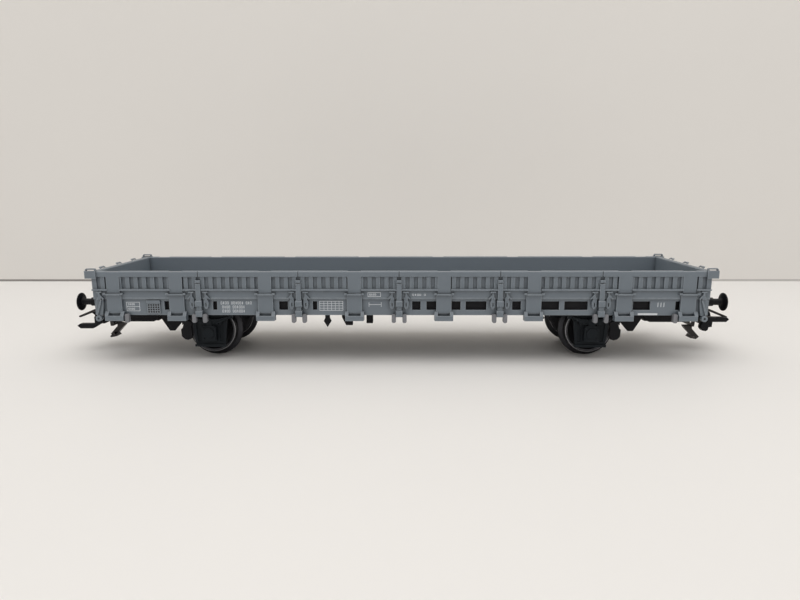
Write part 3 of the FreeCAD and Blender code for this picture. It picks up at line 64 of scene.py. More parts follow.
# %% [markdown]
# ## Camera
# A model this small is best looked at from close by, a little above the top of its walls, so that the
# inside of the far wall shows over the near one. A wide lens near the model gives strong perspective,
# and only this pairing of lens and distance shows the ends' faces turned away as they should be.
# The pitch, turn and roll are small angles, so they are set as three plain turns of the camera.

# %% Set the camera
LENS = 26.95
CAMERA_PLACE = Vector((2.52, -154.15, 41.08)) * MM
CAMERA_PITCH, CAMERA_ROLL, CAMERA_TURN = radians(90 - 10.52), radians(0.15), radians(0.93)

camera = bpy.data.objects.new("camera", bpy.data.cameras.new("camera"))
camera.data.sensor_width = 36
camera.data.lens = LENS
camera.data.clip_start, camera.data.clip_end = 0.005, 5
camera.location = CAMERA_PLACE
camera.rotation_euler = (CAMERA_PITCH, CAMERA_ROLL, CAMERA_TURN)
bpy.context.scene.collection.objects.link(camera)
bpy.context.scene.camera = camera
bpy.context.scene.view_settings.view_transform = "Standard"
print("camera is", round(camera.location.length / MM), "mm from the wagon's centre")


# %% [markdown]
# ## Node helpers
# A material is a small network of nodes, and most of its lines of code would only make a node,
# set it and join it. Three short helpers do that, so that each finish below can be read as a recipe.
# `maths` takes numbers or sockets alike, which keeps sums on one line.

# %% Helpers for shader nodes
def add(tree, kind, **settings):
    """Adds a node and sets its properties."""
    node = tree.nodes.new(kind)
    for name, value in settings.items():
        setattr(node, name, value)
    return node


def feed(tree, target, value):
    """Joins a socket to an input, or sets the input to a plain value."""
    if isinstance(value, bpy.types.NodeSocket):
        tree.links.new(value, target)
    else:
        target.default_value = value


def maths(tree, operation, *values, clamp=False):
    """A Math node on numbers or sockets."""
    node = add(tree, "ShaderNodeMath", operation=operation, use_clamp=clamp)
    for target, value in zip(node.inputs, values):
        feed(tree, target, value)
    return node.outputs[0]


def noise(tree, scale, detail=2.0, stretch=(1, 1, 1)):
    """Noise on the object's own coordinates, in features of about 1/scale metres."""
    mapping = add(tree, "ShaderNodeMapping")
    mapping.inputs["Scale"].default_value = stretch
    tree.links.new(add(tree, "ShaderNodeTexCoord").outputs["Object"], mapping.inputs["Vector"])
    node = add(tree, "ShaderNodeTexNoise")
    node.inputs["Scale"].default_value = scale
    node.inputs["Detail"].default_value = detail
    tree.links.new(mapping.outputs["Vector"], node.inputs["Vector"])
    return node.outputs["Fac"]


def blend_colour(tree, factor, first, second):
    """Mixes two colours."""
    node = add(tree, "ShaderNodeMix", data_type="RGBA")
    feed(tree, node.inputs["Factor"], factor)
    feed(tree, node.inputs["A"], first)
    feed(tree, node.inputs["B"], second)
    return node.outputs["Result"]


def start_group(name, inputs, outputs):
    """A new shader group with named sockets.

    Each input is given as (name, kind, value), each output as (name, kind)."""
    group = bpy.data.node_groups.new(name, "ShaderNodeTree")
    for label, kind, value in inputs:
        group.interface.new_socket(label, in_out="INPUT", socket_type=kind).default_value = value
    for label, kind in outputs:
        group.interface.new_socket(label, in_out="OUTPUT", socket_type=kind)
    return group, group.nodes.new("NodeGroupInput"), group.nodes.new("NodeGroupOutput")


FLOAT, COLOUR = "NodeSocketFloat", "NodeSocketColor"
print("helpers ready")


# %% [markdown]
# ## Effect: moulded skin
# Injection-moulded plastic is never quite even: its colour drifts by a few hundredths, its gloss is
# a little patchy where the mould was polished by hand, and it has a fine spark-eroded grain.
# Three noises of very different sizes give these. They sit in one group, because grey and black
# parts show the same thing in different strengths.

# %% Group: moulded skin
def moulded_skin_group():
    group, given, made = start_group(
        "moulded_skin",
        [("Colour", COLOUR, (0.5, 0.5, 0.5, 1)), ("Drift", FLOAT, 0.1),
         ("Roughness", FLOAT, 0.45), ("Patchiness", FLOAT, 0.1)],
        [("Colour", COLOUR), ("Roughness", FLOAT), ("Height", FLOAT)],
    )
    drift = maths(group, "SUBTRACT", noise(group, 70, 4), 0.5)
    shade = add(group, "ShaderNodeHueSaturation")
    feed(group, shade.inputs["Color"], given.outputs["Colour"])
    feed(group, shade.inputs["Value"], maths(group, "MULTIPLY_ADD", drift, given.outputs["Drift"], 1))
    feed(group, made.inputs["Colour"], shade.outputs["Color"])
    patches = maths(group, "SUBTRACT", noise(group, 900, 3), 0.5)
    patchiness, roughness = given.outputs["Patchiness"], given.outputs["Roughness"]
    rough = maths(group, "MULTIPLY_ADD", patches, patchiness, roughness, clamp=True)
    feed(group, made.inputs["Roughness"], rough)
    grain = maths(group, "MULTIPLY", noise(group, 9000, 2), 0.6)
    feed(group, made.inputs["Height"], maths(group, "MULTIPLY_ADD", noise(group, 1500, 2), 0.4, grain))
    return group


MOULDED_SKIN = moulded_skin_group()
print(MOULDED_SKIN.name, [item.name for item in MOULDED_SKIN.interface.items_tree])


# %% [markdown]
# ## Effect: settled dust
# A model that has stood on a shelf carries a thin pale dust on what faces up. The object's own normal
# tells which way a face looks, so the dust needs no painting. A broken noise keeps it from being a film.

# %% Group: settled dust
def settled_dust_group():
    group, given, made = start_group(
        "settled_dust",
        [("Colour", COLOUR, (0.5, 0.5, 0.5, 1)), ("Dust", COLOUR, (0.55, 0.53, 0.5, 1)),
         ("Amount", FLOAT, 0.2),
         ("Roughness", FLOAT, 0.5)],
        [("Colour", COLOUR), ("Roughness", FLOAT)],
    )
    normal = add(group, "ShaderNodeSeparateXYZ")
    group.links.new(add(group, "ShaderNodeTexCoord").outputs["Normal"], normal.inputs["Vector"])
    upward = add(group, "ShaderNodeMapRange")
    upward.inputs["From Min"].default_value = 0.3
    feed(group, upward.inputs["Value"], normal.outputs["Z"])
    speckle = maths(group, "MULTIPLY", noise(group, 160, 6), noise(group, 2400, 3))
    flecks = maths(group, "MULTIPLY", speckle, 4, clamp=True)
    cover = maths(group, "MULTIPLY", flecks, given.outputs["Amount"])
    mask = maths(group, "MULTIPLY", cover, upward.outputs["Result"], clamp=True)
    dusted = blend_colour(group, mask, given.outputs["Colour"], given.outputs["Dust"])
    feed(group, made.inputs["Colour"], dusted)
    duller = maths(group, "MULTIPLY_ADD", mask, 0.4, given.outputs["Roughness"], clamp=True)
    feed(group, made.inputs["Roughness"], duller)
    return group


SETTLED_DUST = settled_dust_group()
print(SETTLED_DUST.name, "ready")


# %% [markdown]
# ## Effect: worn edges and painted highlight
# Where plastic turns a sharp corner it is painted paler. Partly that is wear, where handling polishes it;
# partly it is painted highlight, the light that a thin rounded edge catches and lets through. Rays shot
# inwards find another face at once near such a corner and nothing elsewhere, so an ambient occlusion node
# turned inside gives the mask for any shape.

# %% Group: worn edges and painted highlight
def worn_and_highlit_edges_group():
    group, given, made = start_group(
        "pale_edges",
        [("Colour", COLOUR, (0.5, 0.5, 0.5, 1)), ("Edge", COLOUR, (0.8, 0.8, 0.8, 1)),
         ("Amount", FLOAT, 0.3)],
        [("Colour", COLOUR)],
    )
    inside = add(group, "ShaderNodeAmbientOcclusion", inside=True, only_local=True, samples=4)
    inside.inputs["Distance"].default_value = 0.16 * MM
    near = maths(group, "SUBTRACT", 1, inside.outputs["AO"], clamp=True)
    wear_and_highlight = maths(group, "MULTIPLY", near, given.outputs["Amount"])
    # Wear and painted highlight: convex edges are lightened towards the Edge colour.
    mask = maths(group, "MULTIPLY", wear_and_highlight, noise(group, 700, 3), clamp=True)
    paler = blend_colour(group, mask, given.outputs["Colour"], given.outputs["Edge"])
    feed(group, made.inputs["Colour"], paler)
    return group


WORN_AND_HIGHLIT_EDGES = worn_and_highlit_edges_group()
print(WORN_AND_HIGHLIT_EDGES.name, "ready")


# %% [markdown]
# ## Effect: painted shade in recesses
# Grooves and corners are darkened with painted shade, standing in for the shade that falls in them. The same
# kind of node, this time looking outwards over about a millimetre, finds what is enclosed on any shape.

# %% Group: painted shade in recesses
def recess_shade_group():
    group, given, made = start_group(
        "dark_recesses",
        [("Colour", COLOUR, (0.5, 0.5, 0.5, 1)), ("Grime", COLOUR, (0.05, 0.05, 0.05, 1)),
         ("Amount", FLOAT, 0.5)],
        [("Colour", COLOUR), ("Mask", FLOAT)],
    )
    # Painted shade: an outward ambient occlusion darkens what is enclosed, unevenly.
    around = add(group, "ShaderNodeAmbientOcclusion", samples=6)
    around.inputs["Distance"].default_value = 1.1 * MM
    closed = maths(group, "SUBTRACT", 1, around.outputs["AO"], clamp=True)
    uneven = maths(group, "MULTIPLY_ADD", noise(group, 500, 4), 0.6, 0.7)
    hollow = maths(group, "MULTIPLY", closed, uneven)
    mask = maths(group, "MULTIPLY", hollow, given.outputs["Amount"], clamp=True)
    shaded = blend_colour(group, mask, given.outputs["Colour"], given.outputs["Grime"])
    feed(group, made.inputs["Colour"], shaded)
    feed(group, made.inputs["Mask"], mask)
    return group


RECESS_SHADE = recess_shade_group()
print(RECESS_SHADE.name, "ready")


# %% [markdown]
# ## Finish: the plastics
# The body is coloured in the mass, a satin grey with a little green and blue. The underframe is black,
# the axle guards a greenish black from another mould, and the door stops a paler grey.
# They differ only in values, so one function chains the three effects and takes those values.

# %% Plastics
def place_group(tree, group, **values):
    """Puts a group in a material and feeds its inputs."""
    node = add(tree, "ShaderNodeGroup", node_tree=group)
    for label, value in values.items():
        feed(tree, node.inputs[label], value)
    return node


def plastic(name, colour, edge, roughness, drift=0.12, dust=0.1, edges=0.5, grain=0.12, shade_amount=0.8):
    """A moulded plastic: skin, then pale edges of wear and painted highlight, painted shade in its recesses,
    and dust.
    """
    material = bpy.data.materials.new(name)
    material.use_nodes = True
    tree = material.node_tree
    shader = tree.nodes["Principled BSDF"]
    skin = place_group(
        tree, MOULDED_SKIN, Colour=(*colour, 1), Drift=drift, Roughness=roughness, Patchiness=0.16
    )
    # Pale edges: partly wear, partly painted highlight.
    edged = place_group(tree, WORN_AND_HIGHLIT_EDGES, Colour=skin.outputs["Colour"], Edge=(*edge, 1), Amount=edges)
    # Painted shade in the recesses: a quarter of the plastic's own colour.
    recess_shade_colour = (*(value * 0.25 for value in colour), 1)
    shaded_in_recesses = place_group(tree, RECESS_SHADE, Colour=edged.outputs["Colour"], Grime=recess_shade_colour, Amount=shade_amount)
    dusty = place_group(
        tree, SETTLED_DUST,
        Colour=shaded_in_recesses.outputs["Colour"], Amount=dust, Roughness=skin.outputs["Roughness"],
    )
    bump = add(tree, "ShaderNodeBump")
    bump.inputs["Strength"].default_value = grain
    bump.inputs["Distance"].default_value = 0.02 * MM
    feed(tree, bump.inputs["Height"], skin.outputs["Height"])
    feed(tree, shader.inputs["Base Color"], dusty.outputs["Colour"])
    feed(tree, shader.inputs["Roughness"], dusty.outputs["Roughness"])
    feed(tree, shader.inputs["Normal"], bump.outputs["Normal"])
    shader.inputs["IOR"].default_value = 1.5
    return material


# Each plastic's edge colour is partly wear and partly painted highlight; the body's is light and strong.
body_grey = plastic("body_grey", (0.152, 0.180, 0.208), (0.6, 0.64, 0.67), 0.42, edges=1.2)
door_stop_grey = plastic("door_stop_grey", (0.19, 0.194, 0.21), (0.42, 0.42, 0.44), 0.5)
frame_black = plastic(
    "frame_black", (0.006, 0.006, 0.008), (0.05, 0.05, 0.05), 0.45, drift=0.3, dust=0.03, edges=0.4
)
axle_guard_black = plastic(
    "axle_guard_black", (0.008, 0.011, 0.014), (0.045, 0.055, 0.06), 0.6, drift=0.3, dust=0.02
)
for black in (frame_black, axle_guard_black):
    black.node_tree.nodes["Principled BSDF"].inputs["Specular IOR Level"].default_value = 0.17
print("plastics:", [m.name for m in (body_grey, door_stop_grey, frame_black, axle_guard_black)])


# %% [markdown]
# ## Finish: the planked floor
# The load floor imitates crosswise planks. On the real model they are moulded in the body's grey, each with
# an engraved grain along the plank. The joints are in the CAD shape. Here every plank gets its own
# slight shade, from a random value for its place along X, and a noise drawn out along Y is the grain.

# %% Planked floor
PLANK = 2.37 * MM


def planked_floor():
    material = plastic("planked_floor", (0.148, 0.173, 0.2), (0.42, 0.46, 0.47), 0.5, dust=0.25)
    tree = material.node_tree
    shader = tree.nodes["Principled BSDF"]
    place = add(tree, "ShaderNodeSeparateXYZ")
    tree.links.new(add(tree, "ShaderNodeTexCoord").outputs["Object"], place.inputs["Vector"])
    plank = maths(tree, "FLOOR", maths(tree, "DIVIDE", place.outputs["X"], PLANK))
    chance = add(tree, "ShaderNodeTexWhiteNoise", noise_dimensions="1D")
    feed(tree, chance.inputs["W"], plank)
    grain = noise(tree, 1500, 4, stretch=(1, 0.07, 1))
    lighter = maths(tree, "MULTIPLY_ADD", chance.outputs["Value"], 0.16, maths(tree, "MULTIPLY", grain, 0.3))
    shade = add(tree, "ShaderNodeHueSaturation")
    feed(tree, shade.inputs["Color"], shader.inputs["Base Color"].links[0].from_socket)
    feed(tree, shade.inputs["Value"], maths(tree, "ADD", lighter, 0.77))
    feed(tree, shader.inputs["Base Color"], shade.outputs["Color"])
    bump = add(tree, "ShaderNodeBump")
    bump.inputs["Strength"].default_value = 0.5
    bump.inputs["Distance"].default_value = 0.06 * MM
    feed(tree, bump.inputs["Height"], grain)
    feed(tree, bump.inputs["Normal"], shader.inputs["Normal"].links[0].from_socket)
    feed(tree, shader.inputs["Normal"], bump.outputs["Normal"])
    return material


floor_planks = planked_floor()
print(floor_planks.name, "- planks of", round(PLANK / MM, 2), "mm")


# %% [markdown]
# ## Finish: the metals
# Plain steel is bright with fine marks from drawing or turning. The couplers' wire is blackened,
# a thin chemical film that wears through in places. Both are metals with a noise in the roughness.

# %% Metals
def metal(name, colour, worn, roughness, wear):
    """A metal with fine marks and a broken film."""
    material = bpy.data.materials.new(name)
    material.use_nodes = True
    tree = material.node_tree
    shader = tree.nodes["Principled BSDF"]
    film = maths(tree, "MULTIPLY", maths(tree, "GREATER_THAN", noise(tree, 500, 5), 0.62), wear)
    filmed = blend_colour(tree, film, (*colour, 1), (*worn, 1))
    edged = place_group(tree, WORN_AND_HIGHLIT_EDGES, Colour=filmed, Edge=(*worn, 1), Amount=wear)
    marks = noise(tree, 3000, 3, stretch=(1, 0.15, 1))
    feed(tree, shader.inputs["Base Color"], edged.outputs["Colour"])
    feed(tree, shader.inputs["Roughness"], maths(tree, "MULTIPLY_ADD", marks, 0.25, roughness - 0.12))
    bump = add(tree, "ShaderNodeBump")
    bump.inputs["Strength"].default_value = 0.15
    bump.inputs["Distance"].default_value = 0.01 * MM
    feed(tree, bump.inputs["Height"], marks)
    feed(tree, shader.inputs["Normal"], bump.outputs["Normal"])
    shader.inputs["Metallic"].default_value = 1
    return material


plain_steel = metal("plain_steel", (0.5, 0.49, 0.48), (0.65, 0.64, 0.63), 0.35, 0.3)
blackened_wire = metal("blackened_wire", (0.045, 0.042, 0.042), (0.2, 0.19, 0.18), 0.38, 0.35)
print("metals:", plain_steel.name, blackened_wire.name)


# %% [markdown]
# ## Finish: the wheels
# The wheels are turned, then blackened, and the tread and its outer corner are left bright. Here only a thin
# ring at that outer corner is made bright, partly bare metal and partly painted highlight: from the side that
# corner is a thin shining ring.
# The radius from the axle's centre decides which surface is which, so the finish takes the axle's place and
# works on any wheelset.

# %% Wheel finish
RING_INNER, RING_OUTER = 5.41 * MM, 5.57 * MM
AXLE_PLACES = {end: (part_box(f"axle_{end}")[0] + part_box(f"axle_{end}")[1]) / 2 for end in ("front", "rear")}


def wheel_finish(end):
    """Blackened steel with a bright ring about one axle, partly bare metal and partly painted highlight."""
    material = metal(f"wheel_finish_{end}", (0.055, 0.055, 0.06), (0.13, 0.13, 0.13), 0.45, 0.2)
    tree = material.node_tree
    shader = tree.nodes["Principled BSDF"]
    centre = AXLE_PLACES[end]
    place = add(tree, "ShaderNodeSeparateXYZ")
    tree.links.new(add(tree, "ShaderNodeTexCoord").outputs["Object"], place.inputs["Vector"])
    across = maths(tree, "SUBTRACT", place.outputs["X"], centre.x)
    above = maths(tree, "SUBTRACT", place.outputs["Z"], centre.z)
    radius = maths(tree, "SQRT", maths(tree, "ADD", maths(tree, "POWER", maths(tree, "ABSOLUTE", across), 2),
                                       maths(tree, "POWER", maths(tree, "ABSOLUTE", above), 2)))
    past_inner = maths(tree, "GREATER_THAN", radius, RING_INNER)
    within_outer = maths(tree, "LESS_THAN", radius, RING_OUTER)
    ring = maths(tree, "MULTIPLY", past_inner, within_outer)
    dark = shader.inputs["Base Color"].links[0].from_socket
    # Bright ring: partly bare metal, partly painted highlight of the rounded outer corner.
    feed(tree, shader.inputs["Base Color"], blend_colour(tree, ring, dark, (0.32, 0.32, 0.33, 1)))
    return material


wheel_finishes = {end: wheel_finish(end) for end in ("front", "rear")}
print("bright ring from", round(RING_INNER / MM, 2), "to", round(RING_OUTER / MM, 2), "mm")


# %% [markdown]
# ## Pieces: helpers
# Each piece is a bmesh turned into an object that stays at the origin, so that Object coordinates are the
# same everywhere. It is hung on the body it rides on, and the CAD parts it replaces are hidden.

# %% Helpers for pieces
def make_piece(name, bm, material, body, smooth=35, replaced=()):
    """Turns a bmesh into a piece of the wagon."""
    mesh = bpy.data.meshes.new(name)
    bm.to_mesh(mesh)
    bm.free()
    mesh.shade_smooth()
    mesh.set_sharp_from_angle(angle=radians(smooth))
    mesh.materials.append(material)
    piece = bpy.data.objects.new(name, mesh)
    bpy.context.scene.collection.objects.link(piece)
    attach(piece, body)
    if replaced:
        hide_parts(*replaced)
    return piece


def sharp_edges(bm, angle=25):
    """The edges at which a shape turns by more than an angle."""
    return [e for e in bm.edges if len(e.link_faces) == 2 and e.calc_face_angle(0) > radians(angle)]


def round_edges(bm, width, segments=2):
    """Rounds every sharp edge."""
    bmesh.ops.bevel(bm, geom=sharp_edges(bm), offset=width, offset_type="OFFSET", affect="EDGES",
                    segments=segments, profile=0.5, material=-1, clamp_overlap=True)


print("piece helpers ready")


# %% [markdown]
# ## Moulded parts
# A mould's edges are never sharp: its corners are cut with a small radius, and that radius catches the
# light. A copy of each CAD part has its doubled points merged and its flat faces joined up first, so that
# only real edges are left. Those are beveled by a few hundredths of a millimetre, and face-weighted
# normals keep the flats flat. A large face with notches can come out with a triangle turned over, which
# shows as a dark sliver, so such faces are split into convex ones and the folds that are left are counted.
# The CAD part stays for collision.

# %% Round the moulded parts
MESH_FACE = abs(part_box("label_holder_right")[0].y) - 0.15 * MM


def mesh_finish():
    """The body's grey with painted shade: almost black behind the mesh of the label holder."""
    material = body_grey.copy()
    material.name = "label_mesh"
    tree = material.node_tree
    shader = tree.nodes["Principled BSDF"]
    place = add(tree, "ShaderNodeSeparateXYZ")
    tree.links.new(add(tree, "ShaderNodeTexCoord").outputs["Object"], place.inputs["Vector"])
    # Painted shade: faces set back behind the mesh are made almost black.
    behind = maths(tree, "LESS_THAN", maths(tree, "ABSOLUTE", place.outputs["Y"]), MESH_FACE - 0.15 * MM)
    grey = shader.inputs["Base Color"].links[0].from_socket
    feed(tree, shader.inputs["Base Color"], blend_colour(tree, behind, grey, (0.03, 0.033, 0.036, 1)))
    return material


label_mesh = mesh_finish()
FINISHES = {
    "grey": body_grey, "stop_grey": door_stop_grey, "black": frame_black, "guard_black": axle_guard_black,
    "steel": plain_steel, "black_metal": blackened_wire,
}
ROUNDING = {
    "grey": 0.05 * MM,
    "stop_grey": 0.09 * MM,
    "black": 0.06 * MM,
    "guard_black": 0.05 * MM,
    "black_metal": 0.07 * MM,
}
ROUNDED_KINDS = (
    "side_wall", "end_wall", "sole_bar", "headstock", "stake_pockets", "door_posts",
    "door_latches", "corner_latches",
    "door_stops", "corner_eyes", "tie_rings", "axle_guard", "brake",
    "coupler_head", "coupler_loop", "coupler_drawbar",
    "coupler_housing", "housing_cover", "label_holder",
)


FOLD_AREA = 0.002 * MM * MM


def rounded_copy(node, width):
    """A CAD part's mesh, merged, joined up into flat faces and rounded."""
    bm = bmesh.new()
    bm.from_mesh(NODES[node].data)
    bmesh.ops.remove_doubles(bm, verts=bm.verts, dist=0.001 * MM)
    bmesh.ops.dissolve_limit(bm, angle_limit=radians(0.5), verts=bm.verts, edges=bm.edges)
    round_edges(bm, width)
    bmesh.ops.connect_verts_concave(bm, faces=bm.faces)
    return bm


def folds(bm):
    """The number of triangles turned over against their face."""
    bm.normal_update()
    count = 0
    for loops in bm.calc_loop_triangles():
        first, second, third = (loop.vert.co for loop in loops)
        across = (second - first).cross(third - first) / 2
        if across.length > FOLD_AREA and across.dot(loops[0].face.normal) < 0:
            count += 1
    return count


def rounded_part(node):
    """A copy of a CAD part with rounded edges, which replaces it."""
    slot = SLOT_OF[node]
    bm = rounded_copy(node, ROUNDING[slot])
    if folds(bm):
        print(node, "has", folds(bm), "folded triangles")
    finish = label_mesh if node.startswith("label_holder") else FINISHES[slot]
    piece = make_piece(f"rounded_{node}", bm, finish, BODY_OF[node], 60, [node])
    weighted = piece.modifiers.new("flat_faces", "WEIGHTED_NORMAL")
    weighted.keep_sharp = True
    return piece


rounded = [rounded_part(node) for node in sorted(NODES) if node.startswith(ROUNDED_KINDS)]
print(len(rounded), "parts rounded,", sum(len(piece.data.polygons) for piece in rounded), "faces")


# %% [markdown]
# ## Wheels and buffers
# Both are turned on a lathe, so both are spun here from half a section, drawn as distances along the axle
# and radii. The wheel's section closes on itself round the bore. The buffer's runs from axis to axis, and
# merging the points on the axis closes its poles. A fine bevel then breaks the wheels' turned corners.

# %% Spin a section
def spun(section, centre, axis, outwards, closed, steps):
    """A bmesh turned from a section of (distance along the axis, radius)."""
    bm = bmesh.new()
    points = [bm.verts.new(centre + axis * along + outwards * radius) for along, radius in section]
    pairs = list(zip(points, points[1:]))
    if closed:
        pairs.append((points[-1], points[0]))
    edges = [bm.edges.new(pair) for pair in pairs]
    bmesh.ops.spin(
        bm, geom=points + edges, cent=centre, axis=axis, dvec=(0, 0, 0),
        angle=2 * pi, steps=steps, use_merge=True,
    )
    bmesh.ops.remove_doubles(bm, verts=bm.verts, dist=0.0005 * MM)
    bmesh.ops.recalc_face_normals(bm, faces=bm.faces)
    return bm


WHEEL_SECTION = [
    (7.2, 1.0), (7.2, 6.45), (7.32, 6.77), (7.52, 6.85), (7.75, 6.73), (8.1, 5.95), (8.35, 5.73), (9.8, 5.63),
    (10.0, 5.45), (10.0, 4.95), (9.9, 4.85), (9.5, 4.7), (9.15, 2.6), (9.65, 2.0), (9.75, 1.6), (9.75, 1.0),
]


def wheel(end, side, sign):
    """One wheel: its section grows outwards from the wagon's middle."""
    centre = Vector((AXLE_PLACES[end].x, 0, AXLE_PLACES[end].z))
    section = [(along * MM, radius * MM) for along, radius in WHEEL_SECTION]
    bm = spun(section, centre, Vector((0, sign, 0)), Vector((1, 0, 0)), True, 96)
    round_edges(bm, 0.04 * MM, 2)
    node = f"wheel_{end}_{side}"
    return make_piece(f"turned_{node}", bm, wheel_finishes[end], BODY_OF[node], 40, [node])


wheels = [wheel(end, side, sign) for end in ("front", "rear") for side, sign in (("left", 1), ("right", -1))]
print(len(wheels), "wheels of", len(wheels[0].data.polygons), "faces")


# %% [markdown]
# ## Buffers
# A buffer is one turned piece: a stub in the headstock's hole, a flanged sleeve, a thinner plunger and a
# domed head. It could be stacked from cylinders, but one section spun about its own axis gives the
# curve of the head as well. The stub, the flange and the head start from the ends of the CAD parts.

# %% Buffers
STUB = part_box("buffer_front_right")[0].x / MM
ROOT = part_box("headstock_front")[1].x / MM
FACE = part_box("buffer_front_right")[1].x / MM
BUFFER_SECTION = [
    (STUB, 0), (STUB, 0.75), (ROOT, 0.75), (ROOT, 1.3), (ROOT + 0.35, 1.3), (ROOT + 0.5, 1.05),
    (FACE - 3.15, 1.05), (FACE - 3.1, 1.0), (FACE - 3.1, 0.78), (FACE - 1.1, 0.78), (FACE - 0.9, 0.95),
    (FACE - 0.72, 1.95), (FACE - 0.62, 2.17), (FACE - 0.5, 2.2), (FACE - 0.35, 2.15), (FACE - 0.22, 1.85),
    (FACE - 0.1, 1.2), (FACE - 0.02, 0.55), (FACE, 0),
]


def buffer(end, side):
    """One buffer, spun about the line through the middle of its CAD part."""
    node = f"buffer_{end}_{side}"
    low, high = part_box(node)
    middle = (low + high) / 2
    axis = Vector((1 if end == "front" else -1, 0, 0))
    section = [(along * MM, radius * MM) for along, radius in BUFFER_SECTION]
    bm = spun(section, Vector((0, middle.y, middle.z)), axis, Vector((0, 0, 1)), False, 64)
    return make_piece(f"turned_{node}", bm, frame_black, BODY_OF[node], 30, [node])


buffers = [buffer(end, side) for end in ("front", "rear") for side in ("left", "right")]
print(len(buffers), "buffers")


# %% [markdown]
# ## Printed marks
# The side carries small white pad-printed marks: tables, rows of figures and signs. Only their outlines and
# rows are kept here, as plain bars with no letters. Print stands a hundredth of a millimetre proud, so each
# bar is a very thin block on the face that carries it. Rows of dashes repeat with a simple rule for their
# lengths, which looks like writing at this size without being any.

# %% Print the marks
WEB_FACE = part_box("sole_bar_right")[0].y + 0.4 * MM
BAND_FACE = WEB_FACE - 0.4 * MM
INK = 0.015 * MM
LINE = 0.11 * MM


def bar(bm, x_low, x_high, z_low, z_high, face):
    """A thin printed block on a face that looks towards -Y."""
    size = Vector((x_high - x_low, INK, z_high - z_low))
    centre = Vector(((x_high + x_low) / 2, face - INK / 2, (z_high + z_low) / 2))
    bmesh.ops.create_cube(bm, size=1, matrix=Matrix.Translation(centre) @ Matrix.Diagonal((*size, 1)))


def outline(bm, x_low, x_high, z_low, z_high, face):
    """Four lines round a field."""
    bar(bm, x_low, x_high, z_high - LINE, z_high, face)
    bar(bm, x_low, x_high, z_low, z_low + LINE, face)
    bar(bm, x_low, x_low + LINE, z_low + LINE, z_high - LINE, face)
    bar(bm, x_high - LINE, x_high, z_low + LINE, z_high - LINE, face)


def figures(bm, x_low, x_high, z_low, height, face, step=0.5 * MM):
    """A row of small boxes with some gaps, in place of figures."""
    width, line = step * 0.74, 0.085 * MM
    for index in range(int((x_high - x_low) / step)):
        if index % 7 == 4:
            continue
        start = x_low + index * step
        if index % 3 == 1:
            bar(bm, start + width / 2 - line, start + width / 2 + line, z_low, z_low + height, face)
            continue
        bar(bm, start, start + line, z_low, z_low + height, face)
        bar(bm, start + width - line, start + width, z_low, z_low + height, face)
        bar(bm, start + line, start + width - line, z_low, z_low + line, face)
        bar(bm, start + line, start + width - line, z_low + height - line, z_low + height, face)


def marks():
    """All marks of one side."""
    bm = bmesh.new()
    left, right, foot, top = -65.0 * MM, -61.8 * MM, 12.55 * MM, 14.75 * MM
    outline(bm, left, right, foot, top, WEB_FACE)
    bar(bm, left + LINE, right - LINE, (foot + top - LINE) / 2, (foot + top + LINE) / 2, WEB_FACE)
    for row in (foot + 0.33 * MM, foot + 1.42 * MM):
        figures(bm, left + 0.4 * MM, right - 0.3 * MM, row, 0.45 * MM, WEB_FACE, 0.42 * MM)
    for row, (start, end) in enumerate(((-42.4, -34.6), (-42.1, -36.3), (-42.1, -35.7))):
        figures(bm, start * MM, end * MM, (14.2 - row * 0.98) * MM, 0.66 * MM, WEB_FACE)
    left, right, foot, top = -18.9 * MM, -13.3 * MM, 12.7 * MM, 15.0 * MM
    outline(bm, left, right, foot, top, WEB_FACE)
    for row in range(1, 4):
        level = foot + row * (top - foot) / 4
        bar(bm, left + LINE, right - LINE, level - LINE / 2, level + LINE / 2, WEB_FACE)
    for column in (-17.9, -17.0, -16.1, -15.2, -14.3):
        bar(bm, column * MM, column * MM + LINE, foot + LINE, top - LINE, WEB_FACE)
    outline(bm, -7.4 * MM, -4.3 * MM, 16.1 * MM, 17.15 * MM, BAND_FACE)
    figures(bm, -7.0 * MM, -4.5 * MM, 16.4 * MM, 0.45 * MM, BAND_FACE, 0.42 * MM)
    figures(bm, 3.1 * MM, 6.8 * MM, 16.35 * MM, 0.45 * MM, BAND_FACE, 0.55 * MM)
    bar(bm, -7.2 * MM, -4.2 * MM, 14.1 * MM, 14.1 * MM + LINE, WEB_FACE)
    for x in (-7.2, -4.3):
        bar(bm, x * MM, x * MM + LINE, 13.6 * MM, 14.7 * MM, WEB_FACE)
    for x in (60.7, 61.4, 62.1):
        bar(bm, x * MM, x * MM + 1.5 * LINE, 13.6 * MM, 14.65 * MM, WEB_FACE)
    bar(bm, 56.2 * MM, 60.8 * MM, 11.65 * MM, 12.1 * MM, WEB_FACE)
    return bm


def print_white():
    """White ink, thin enough in places for the plastic to show through."""
    material = bpy.data.materials.new("white_ink")
    material.use_nodes = True
    tree = material.node_tree
    thin = maths(tree, "MULTIPLY", noise(tree, 2500, 3), 0.5)
    shader = tree.nodes["Principled BSDF"]
    ink_colour = blend_colour(tree, thin, (0.72, 0.75, 0.78, 1), (0.42, 0.45, 0.48, 1))
    feed(tree, shader.inputs["Base Color"], ink_colour)
    feed(tree, shader.inputs["Roughness"], maths(tree, "MULTIPLY_ADD", thin, 0.3, 0.4))
    return material


white_ink = print_white()
right_marks = make_piece("marks_right", marks(), white_ink, BODY_OF["sole_bar_right"])
turned = marks()
bmesh.ops.rotate(turned, verts=turned.verts, cent=(0, 0, 0), matrix=Matrix.Rotation(pi, 3, "Z"))
make_piece("marks_left", turned, white_ink, BODY_OF["sole_bar_left"])
print("marks:", len(right_marks.data.polygons) // 6, "bars a side")


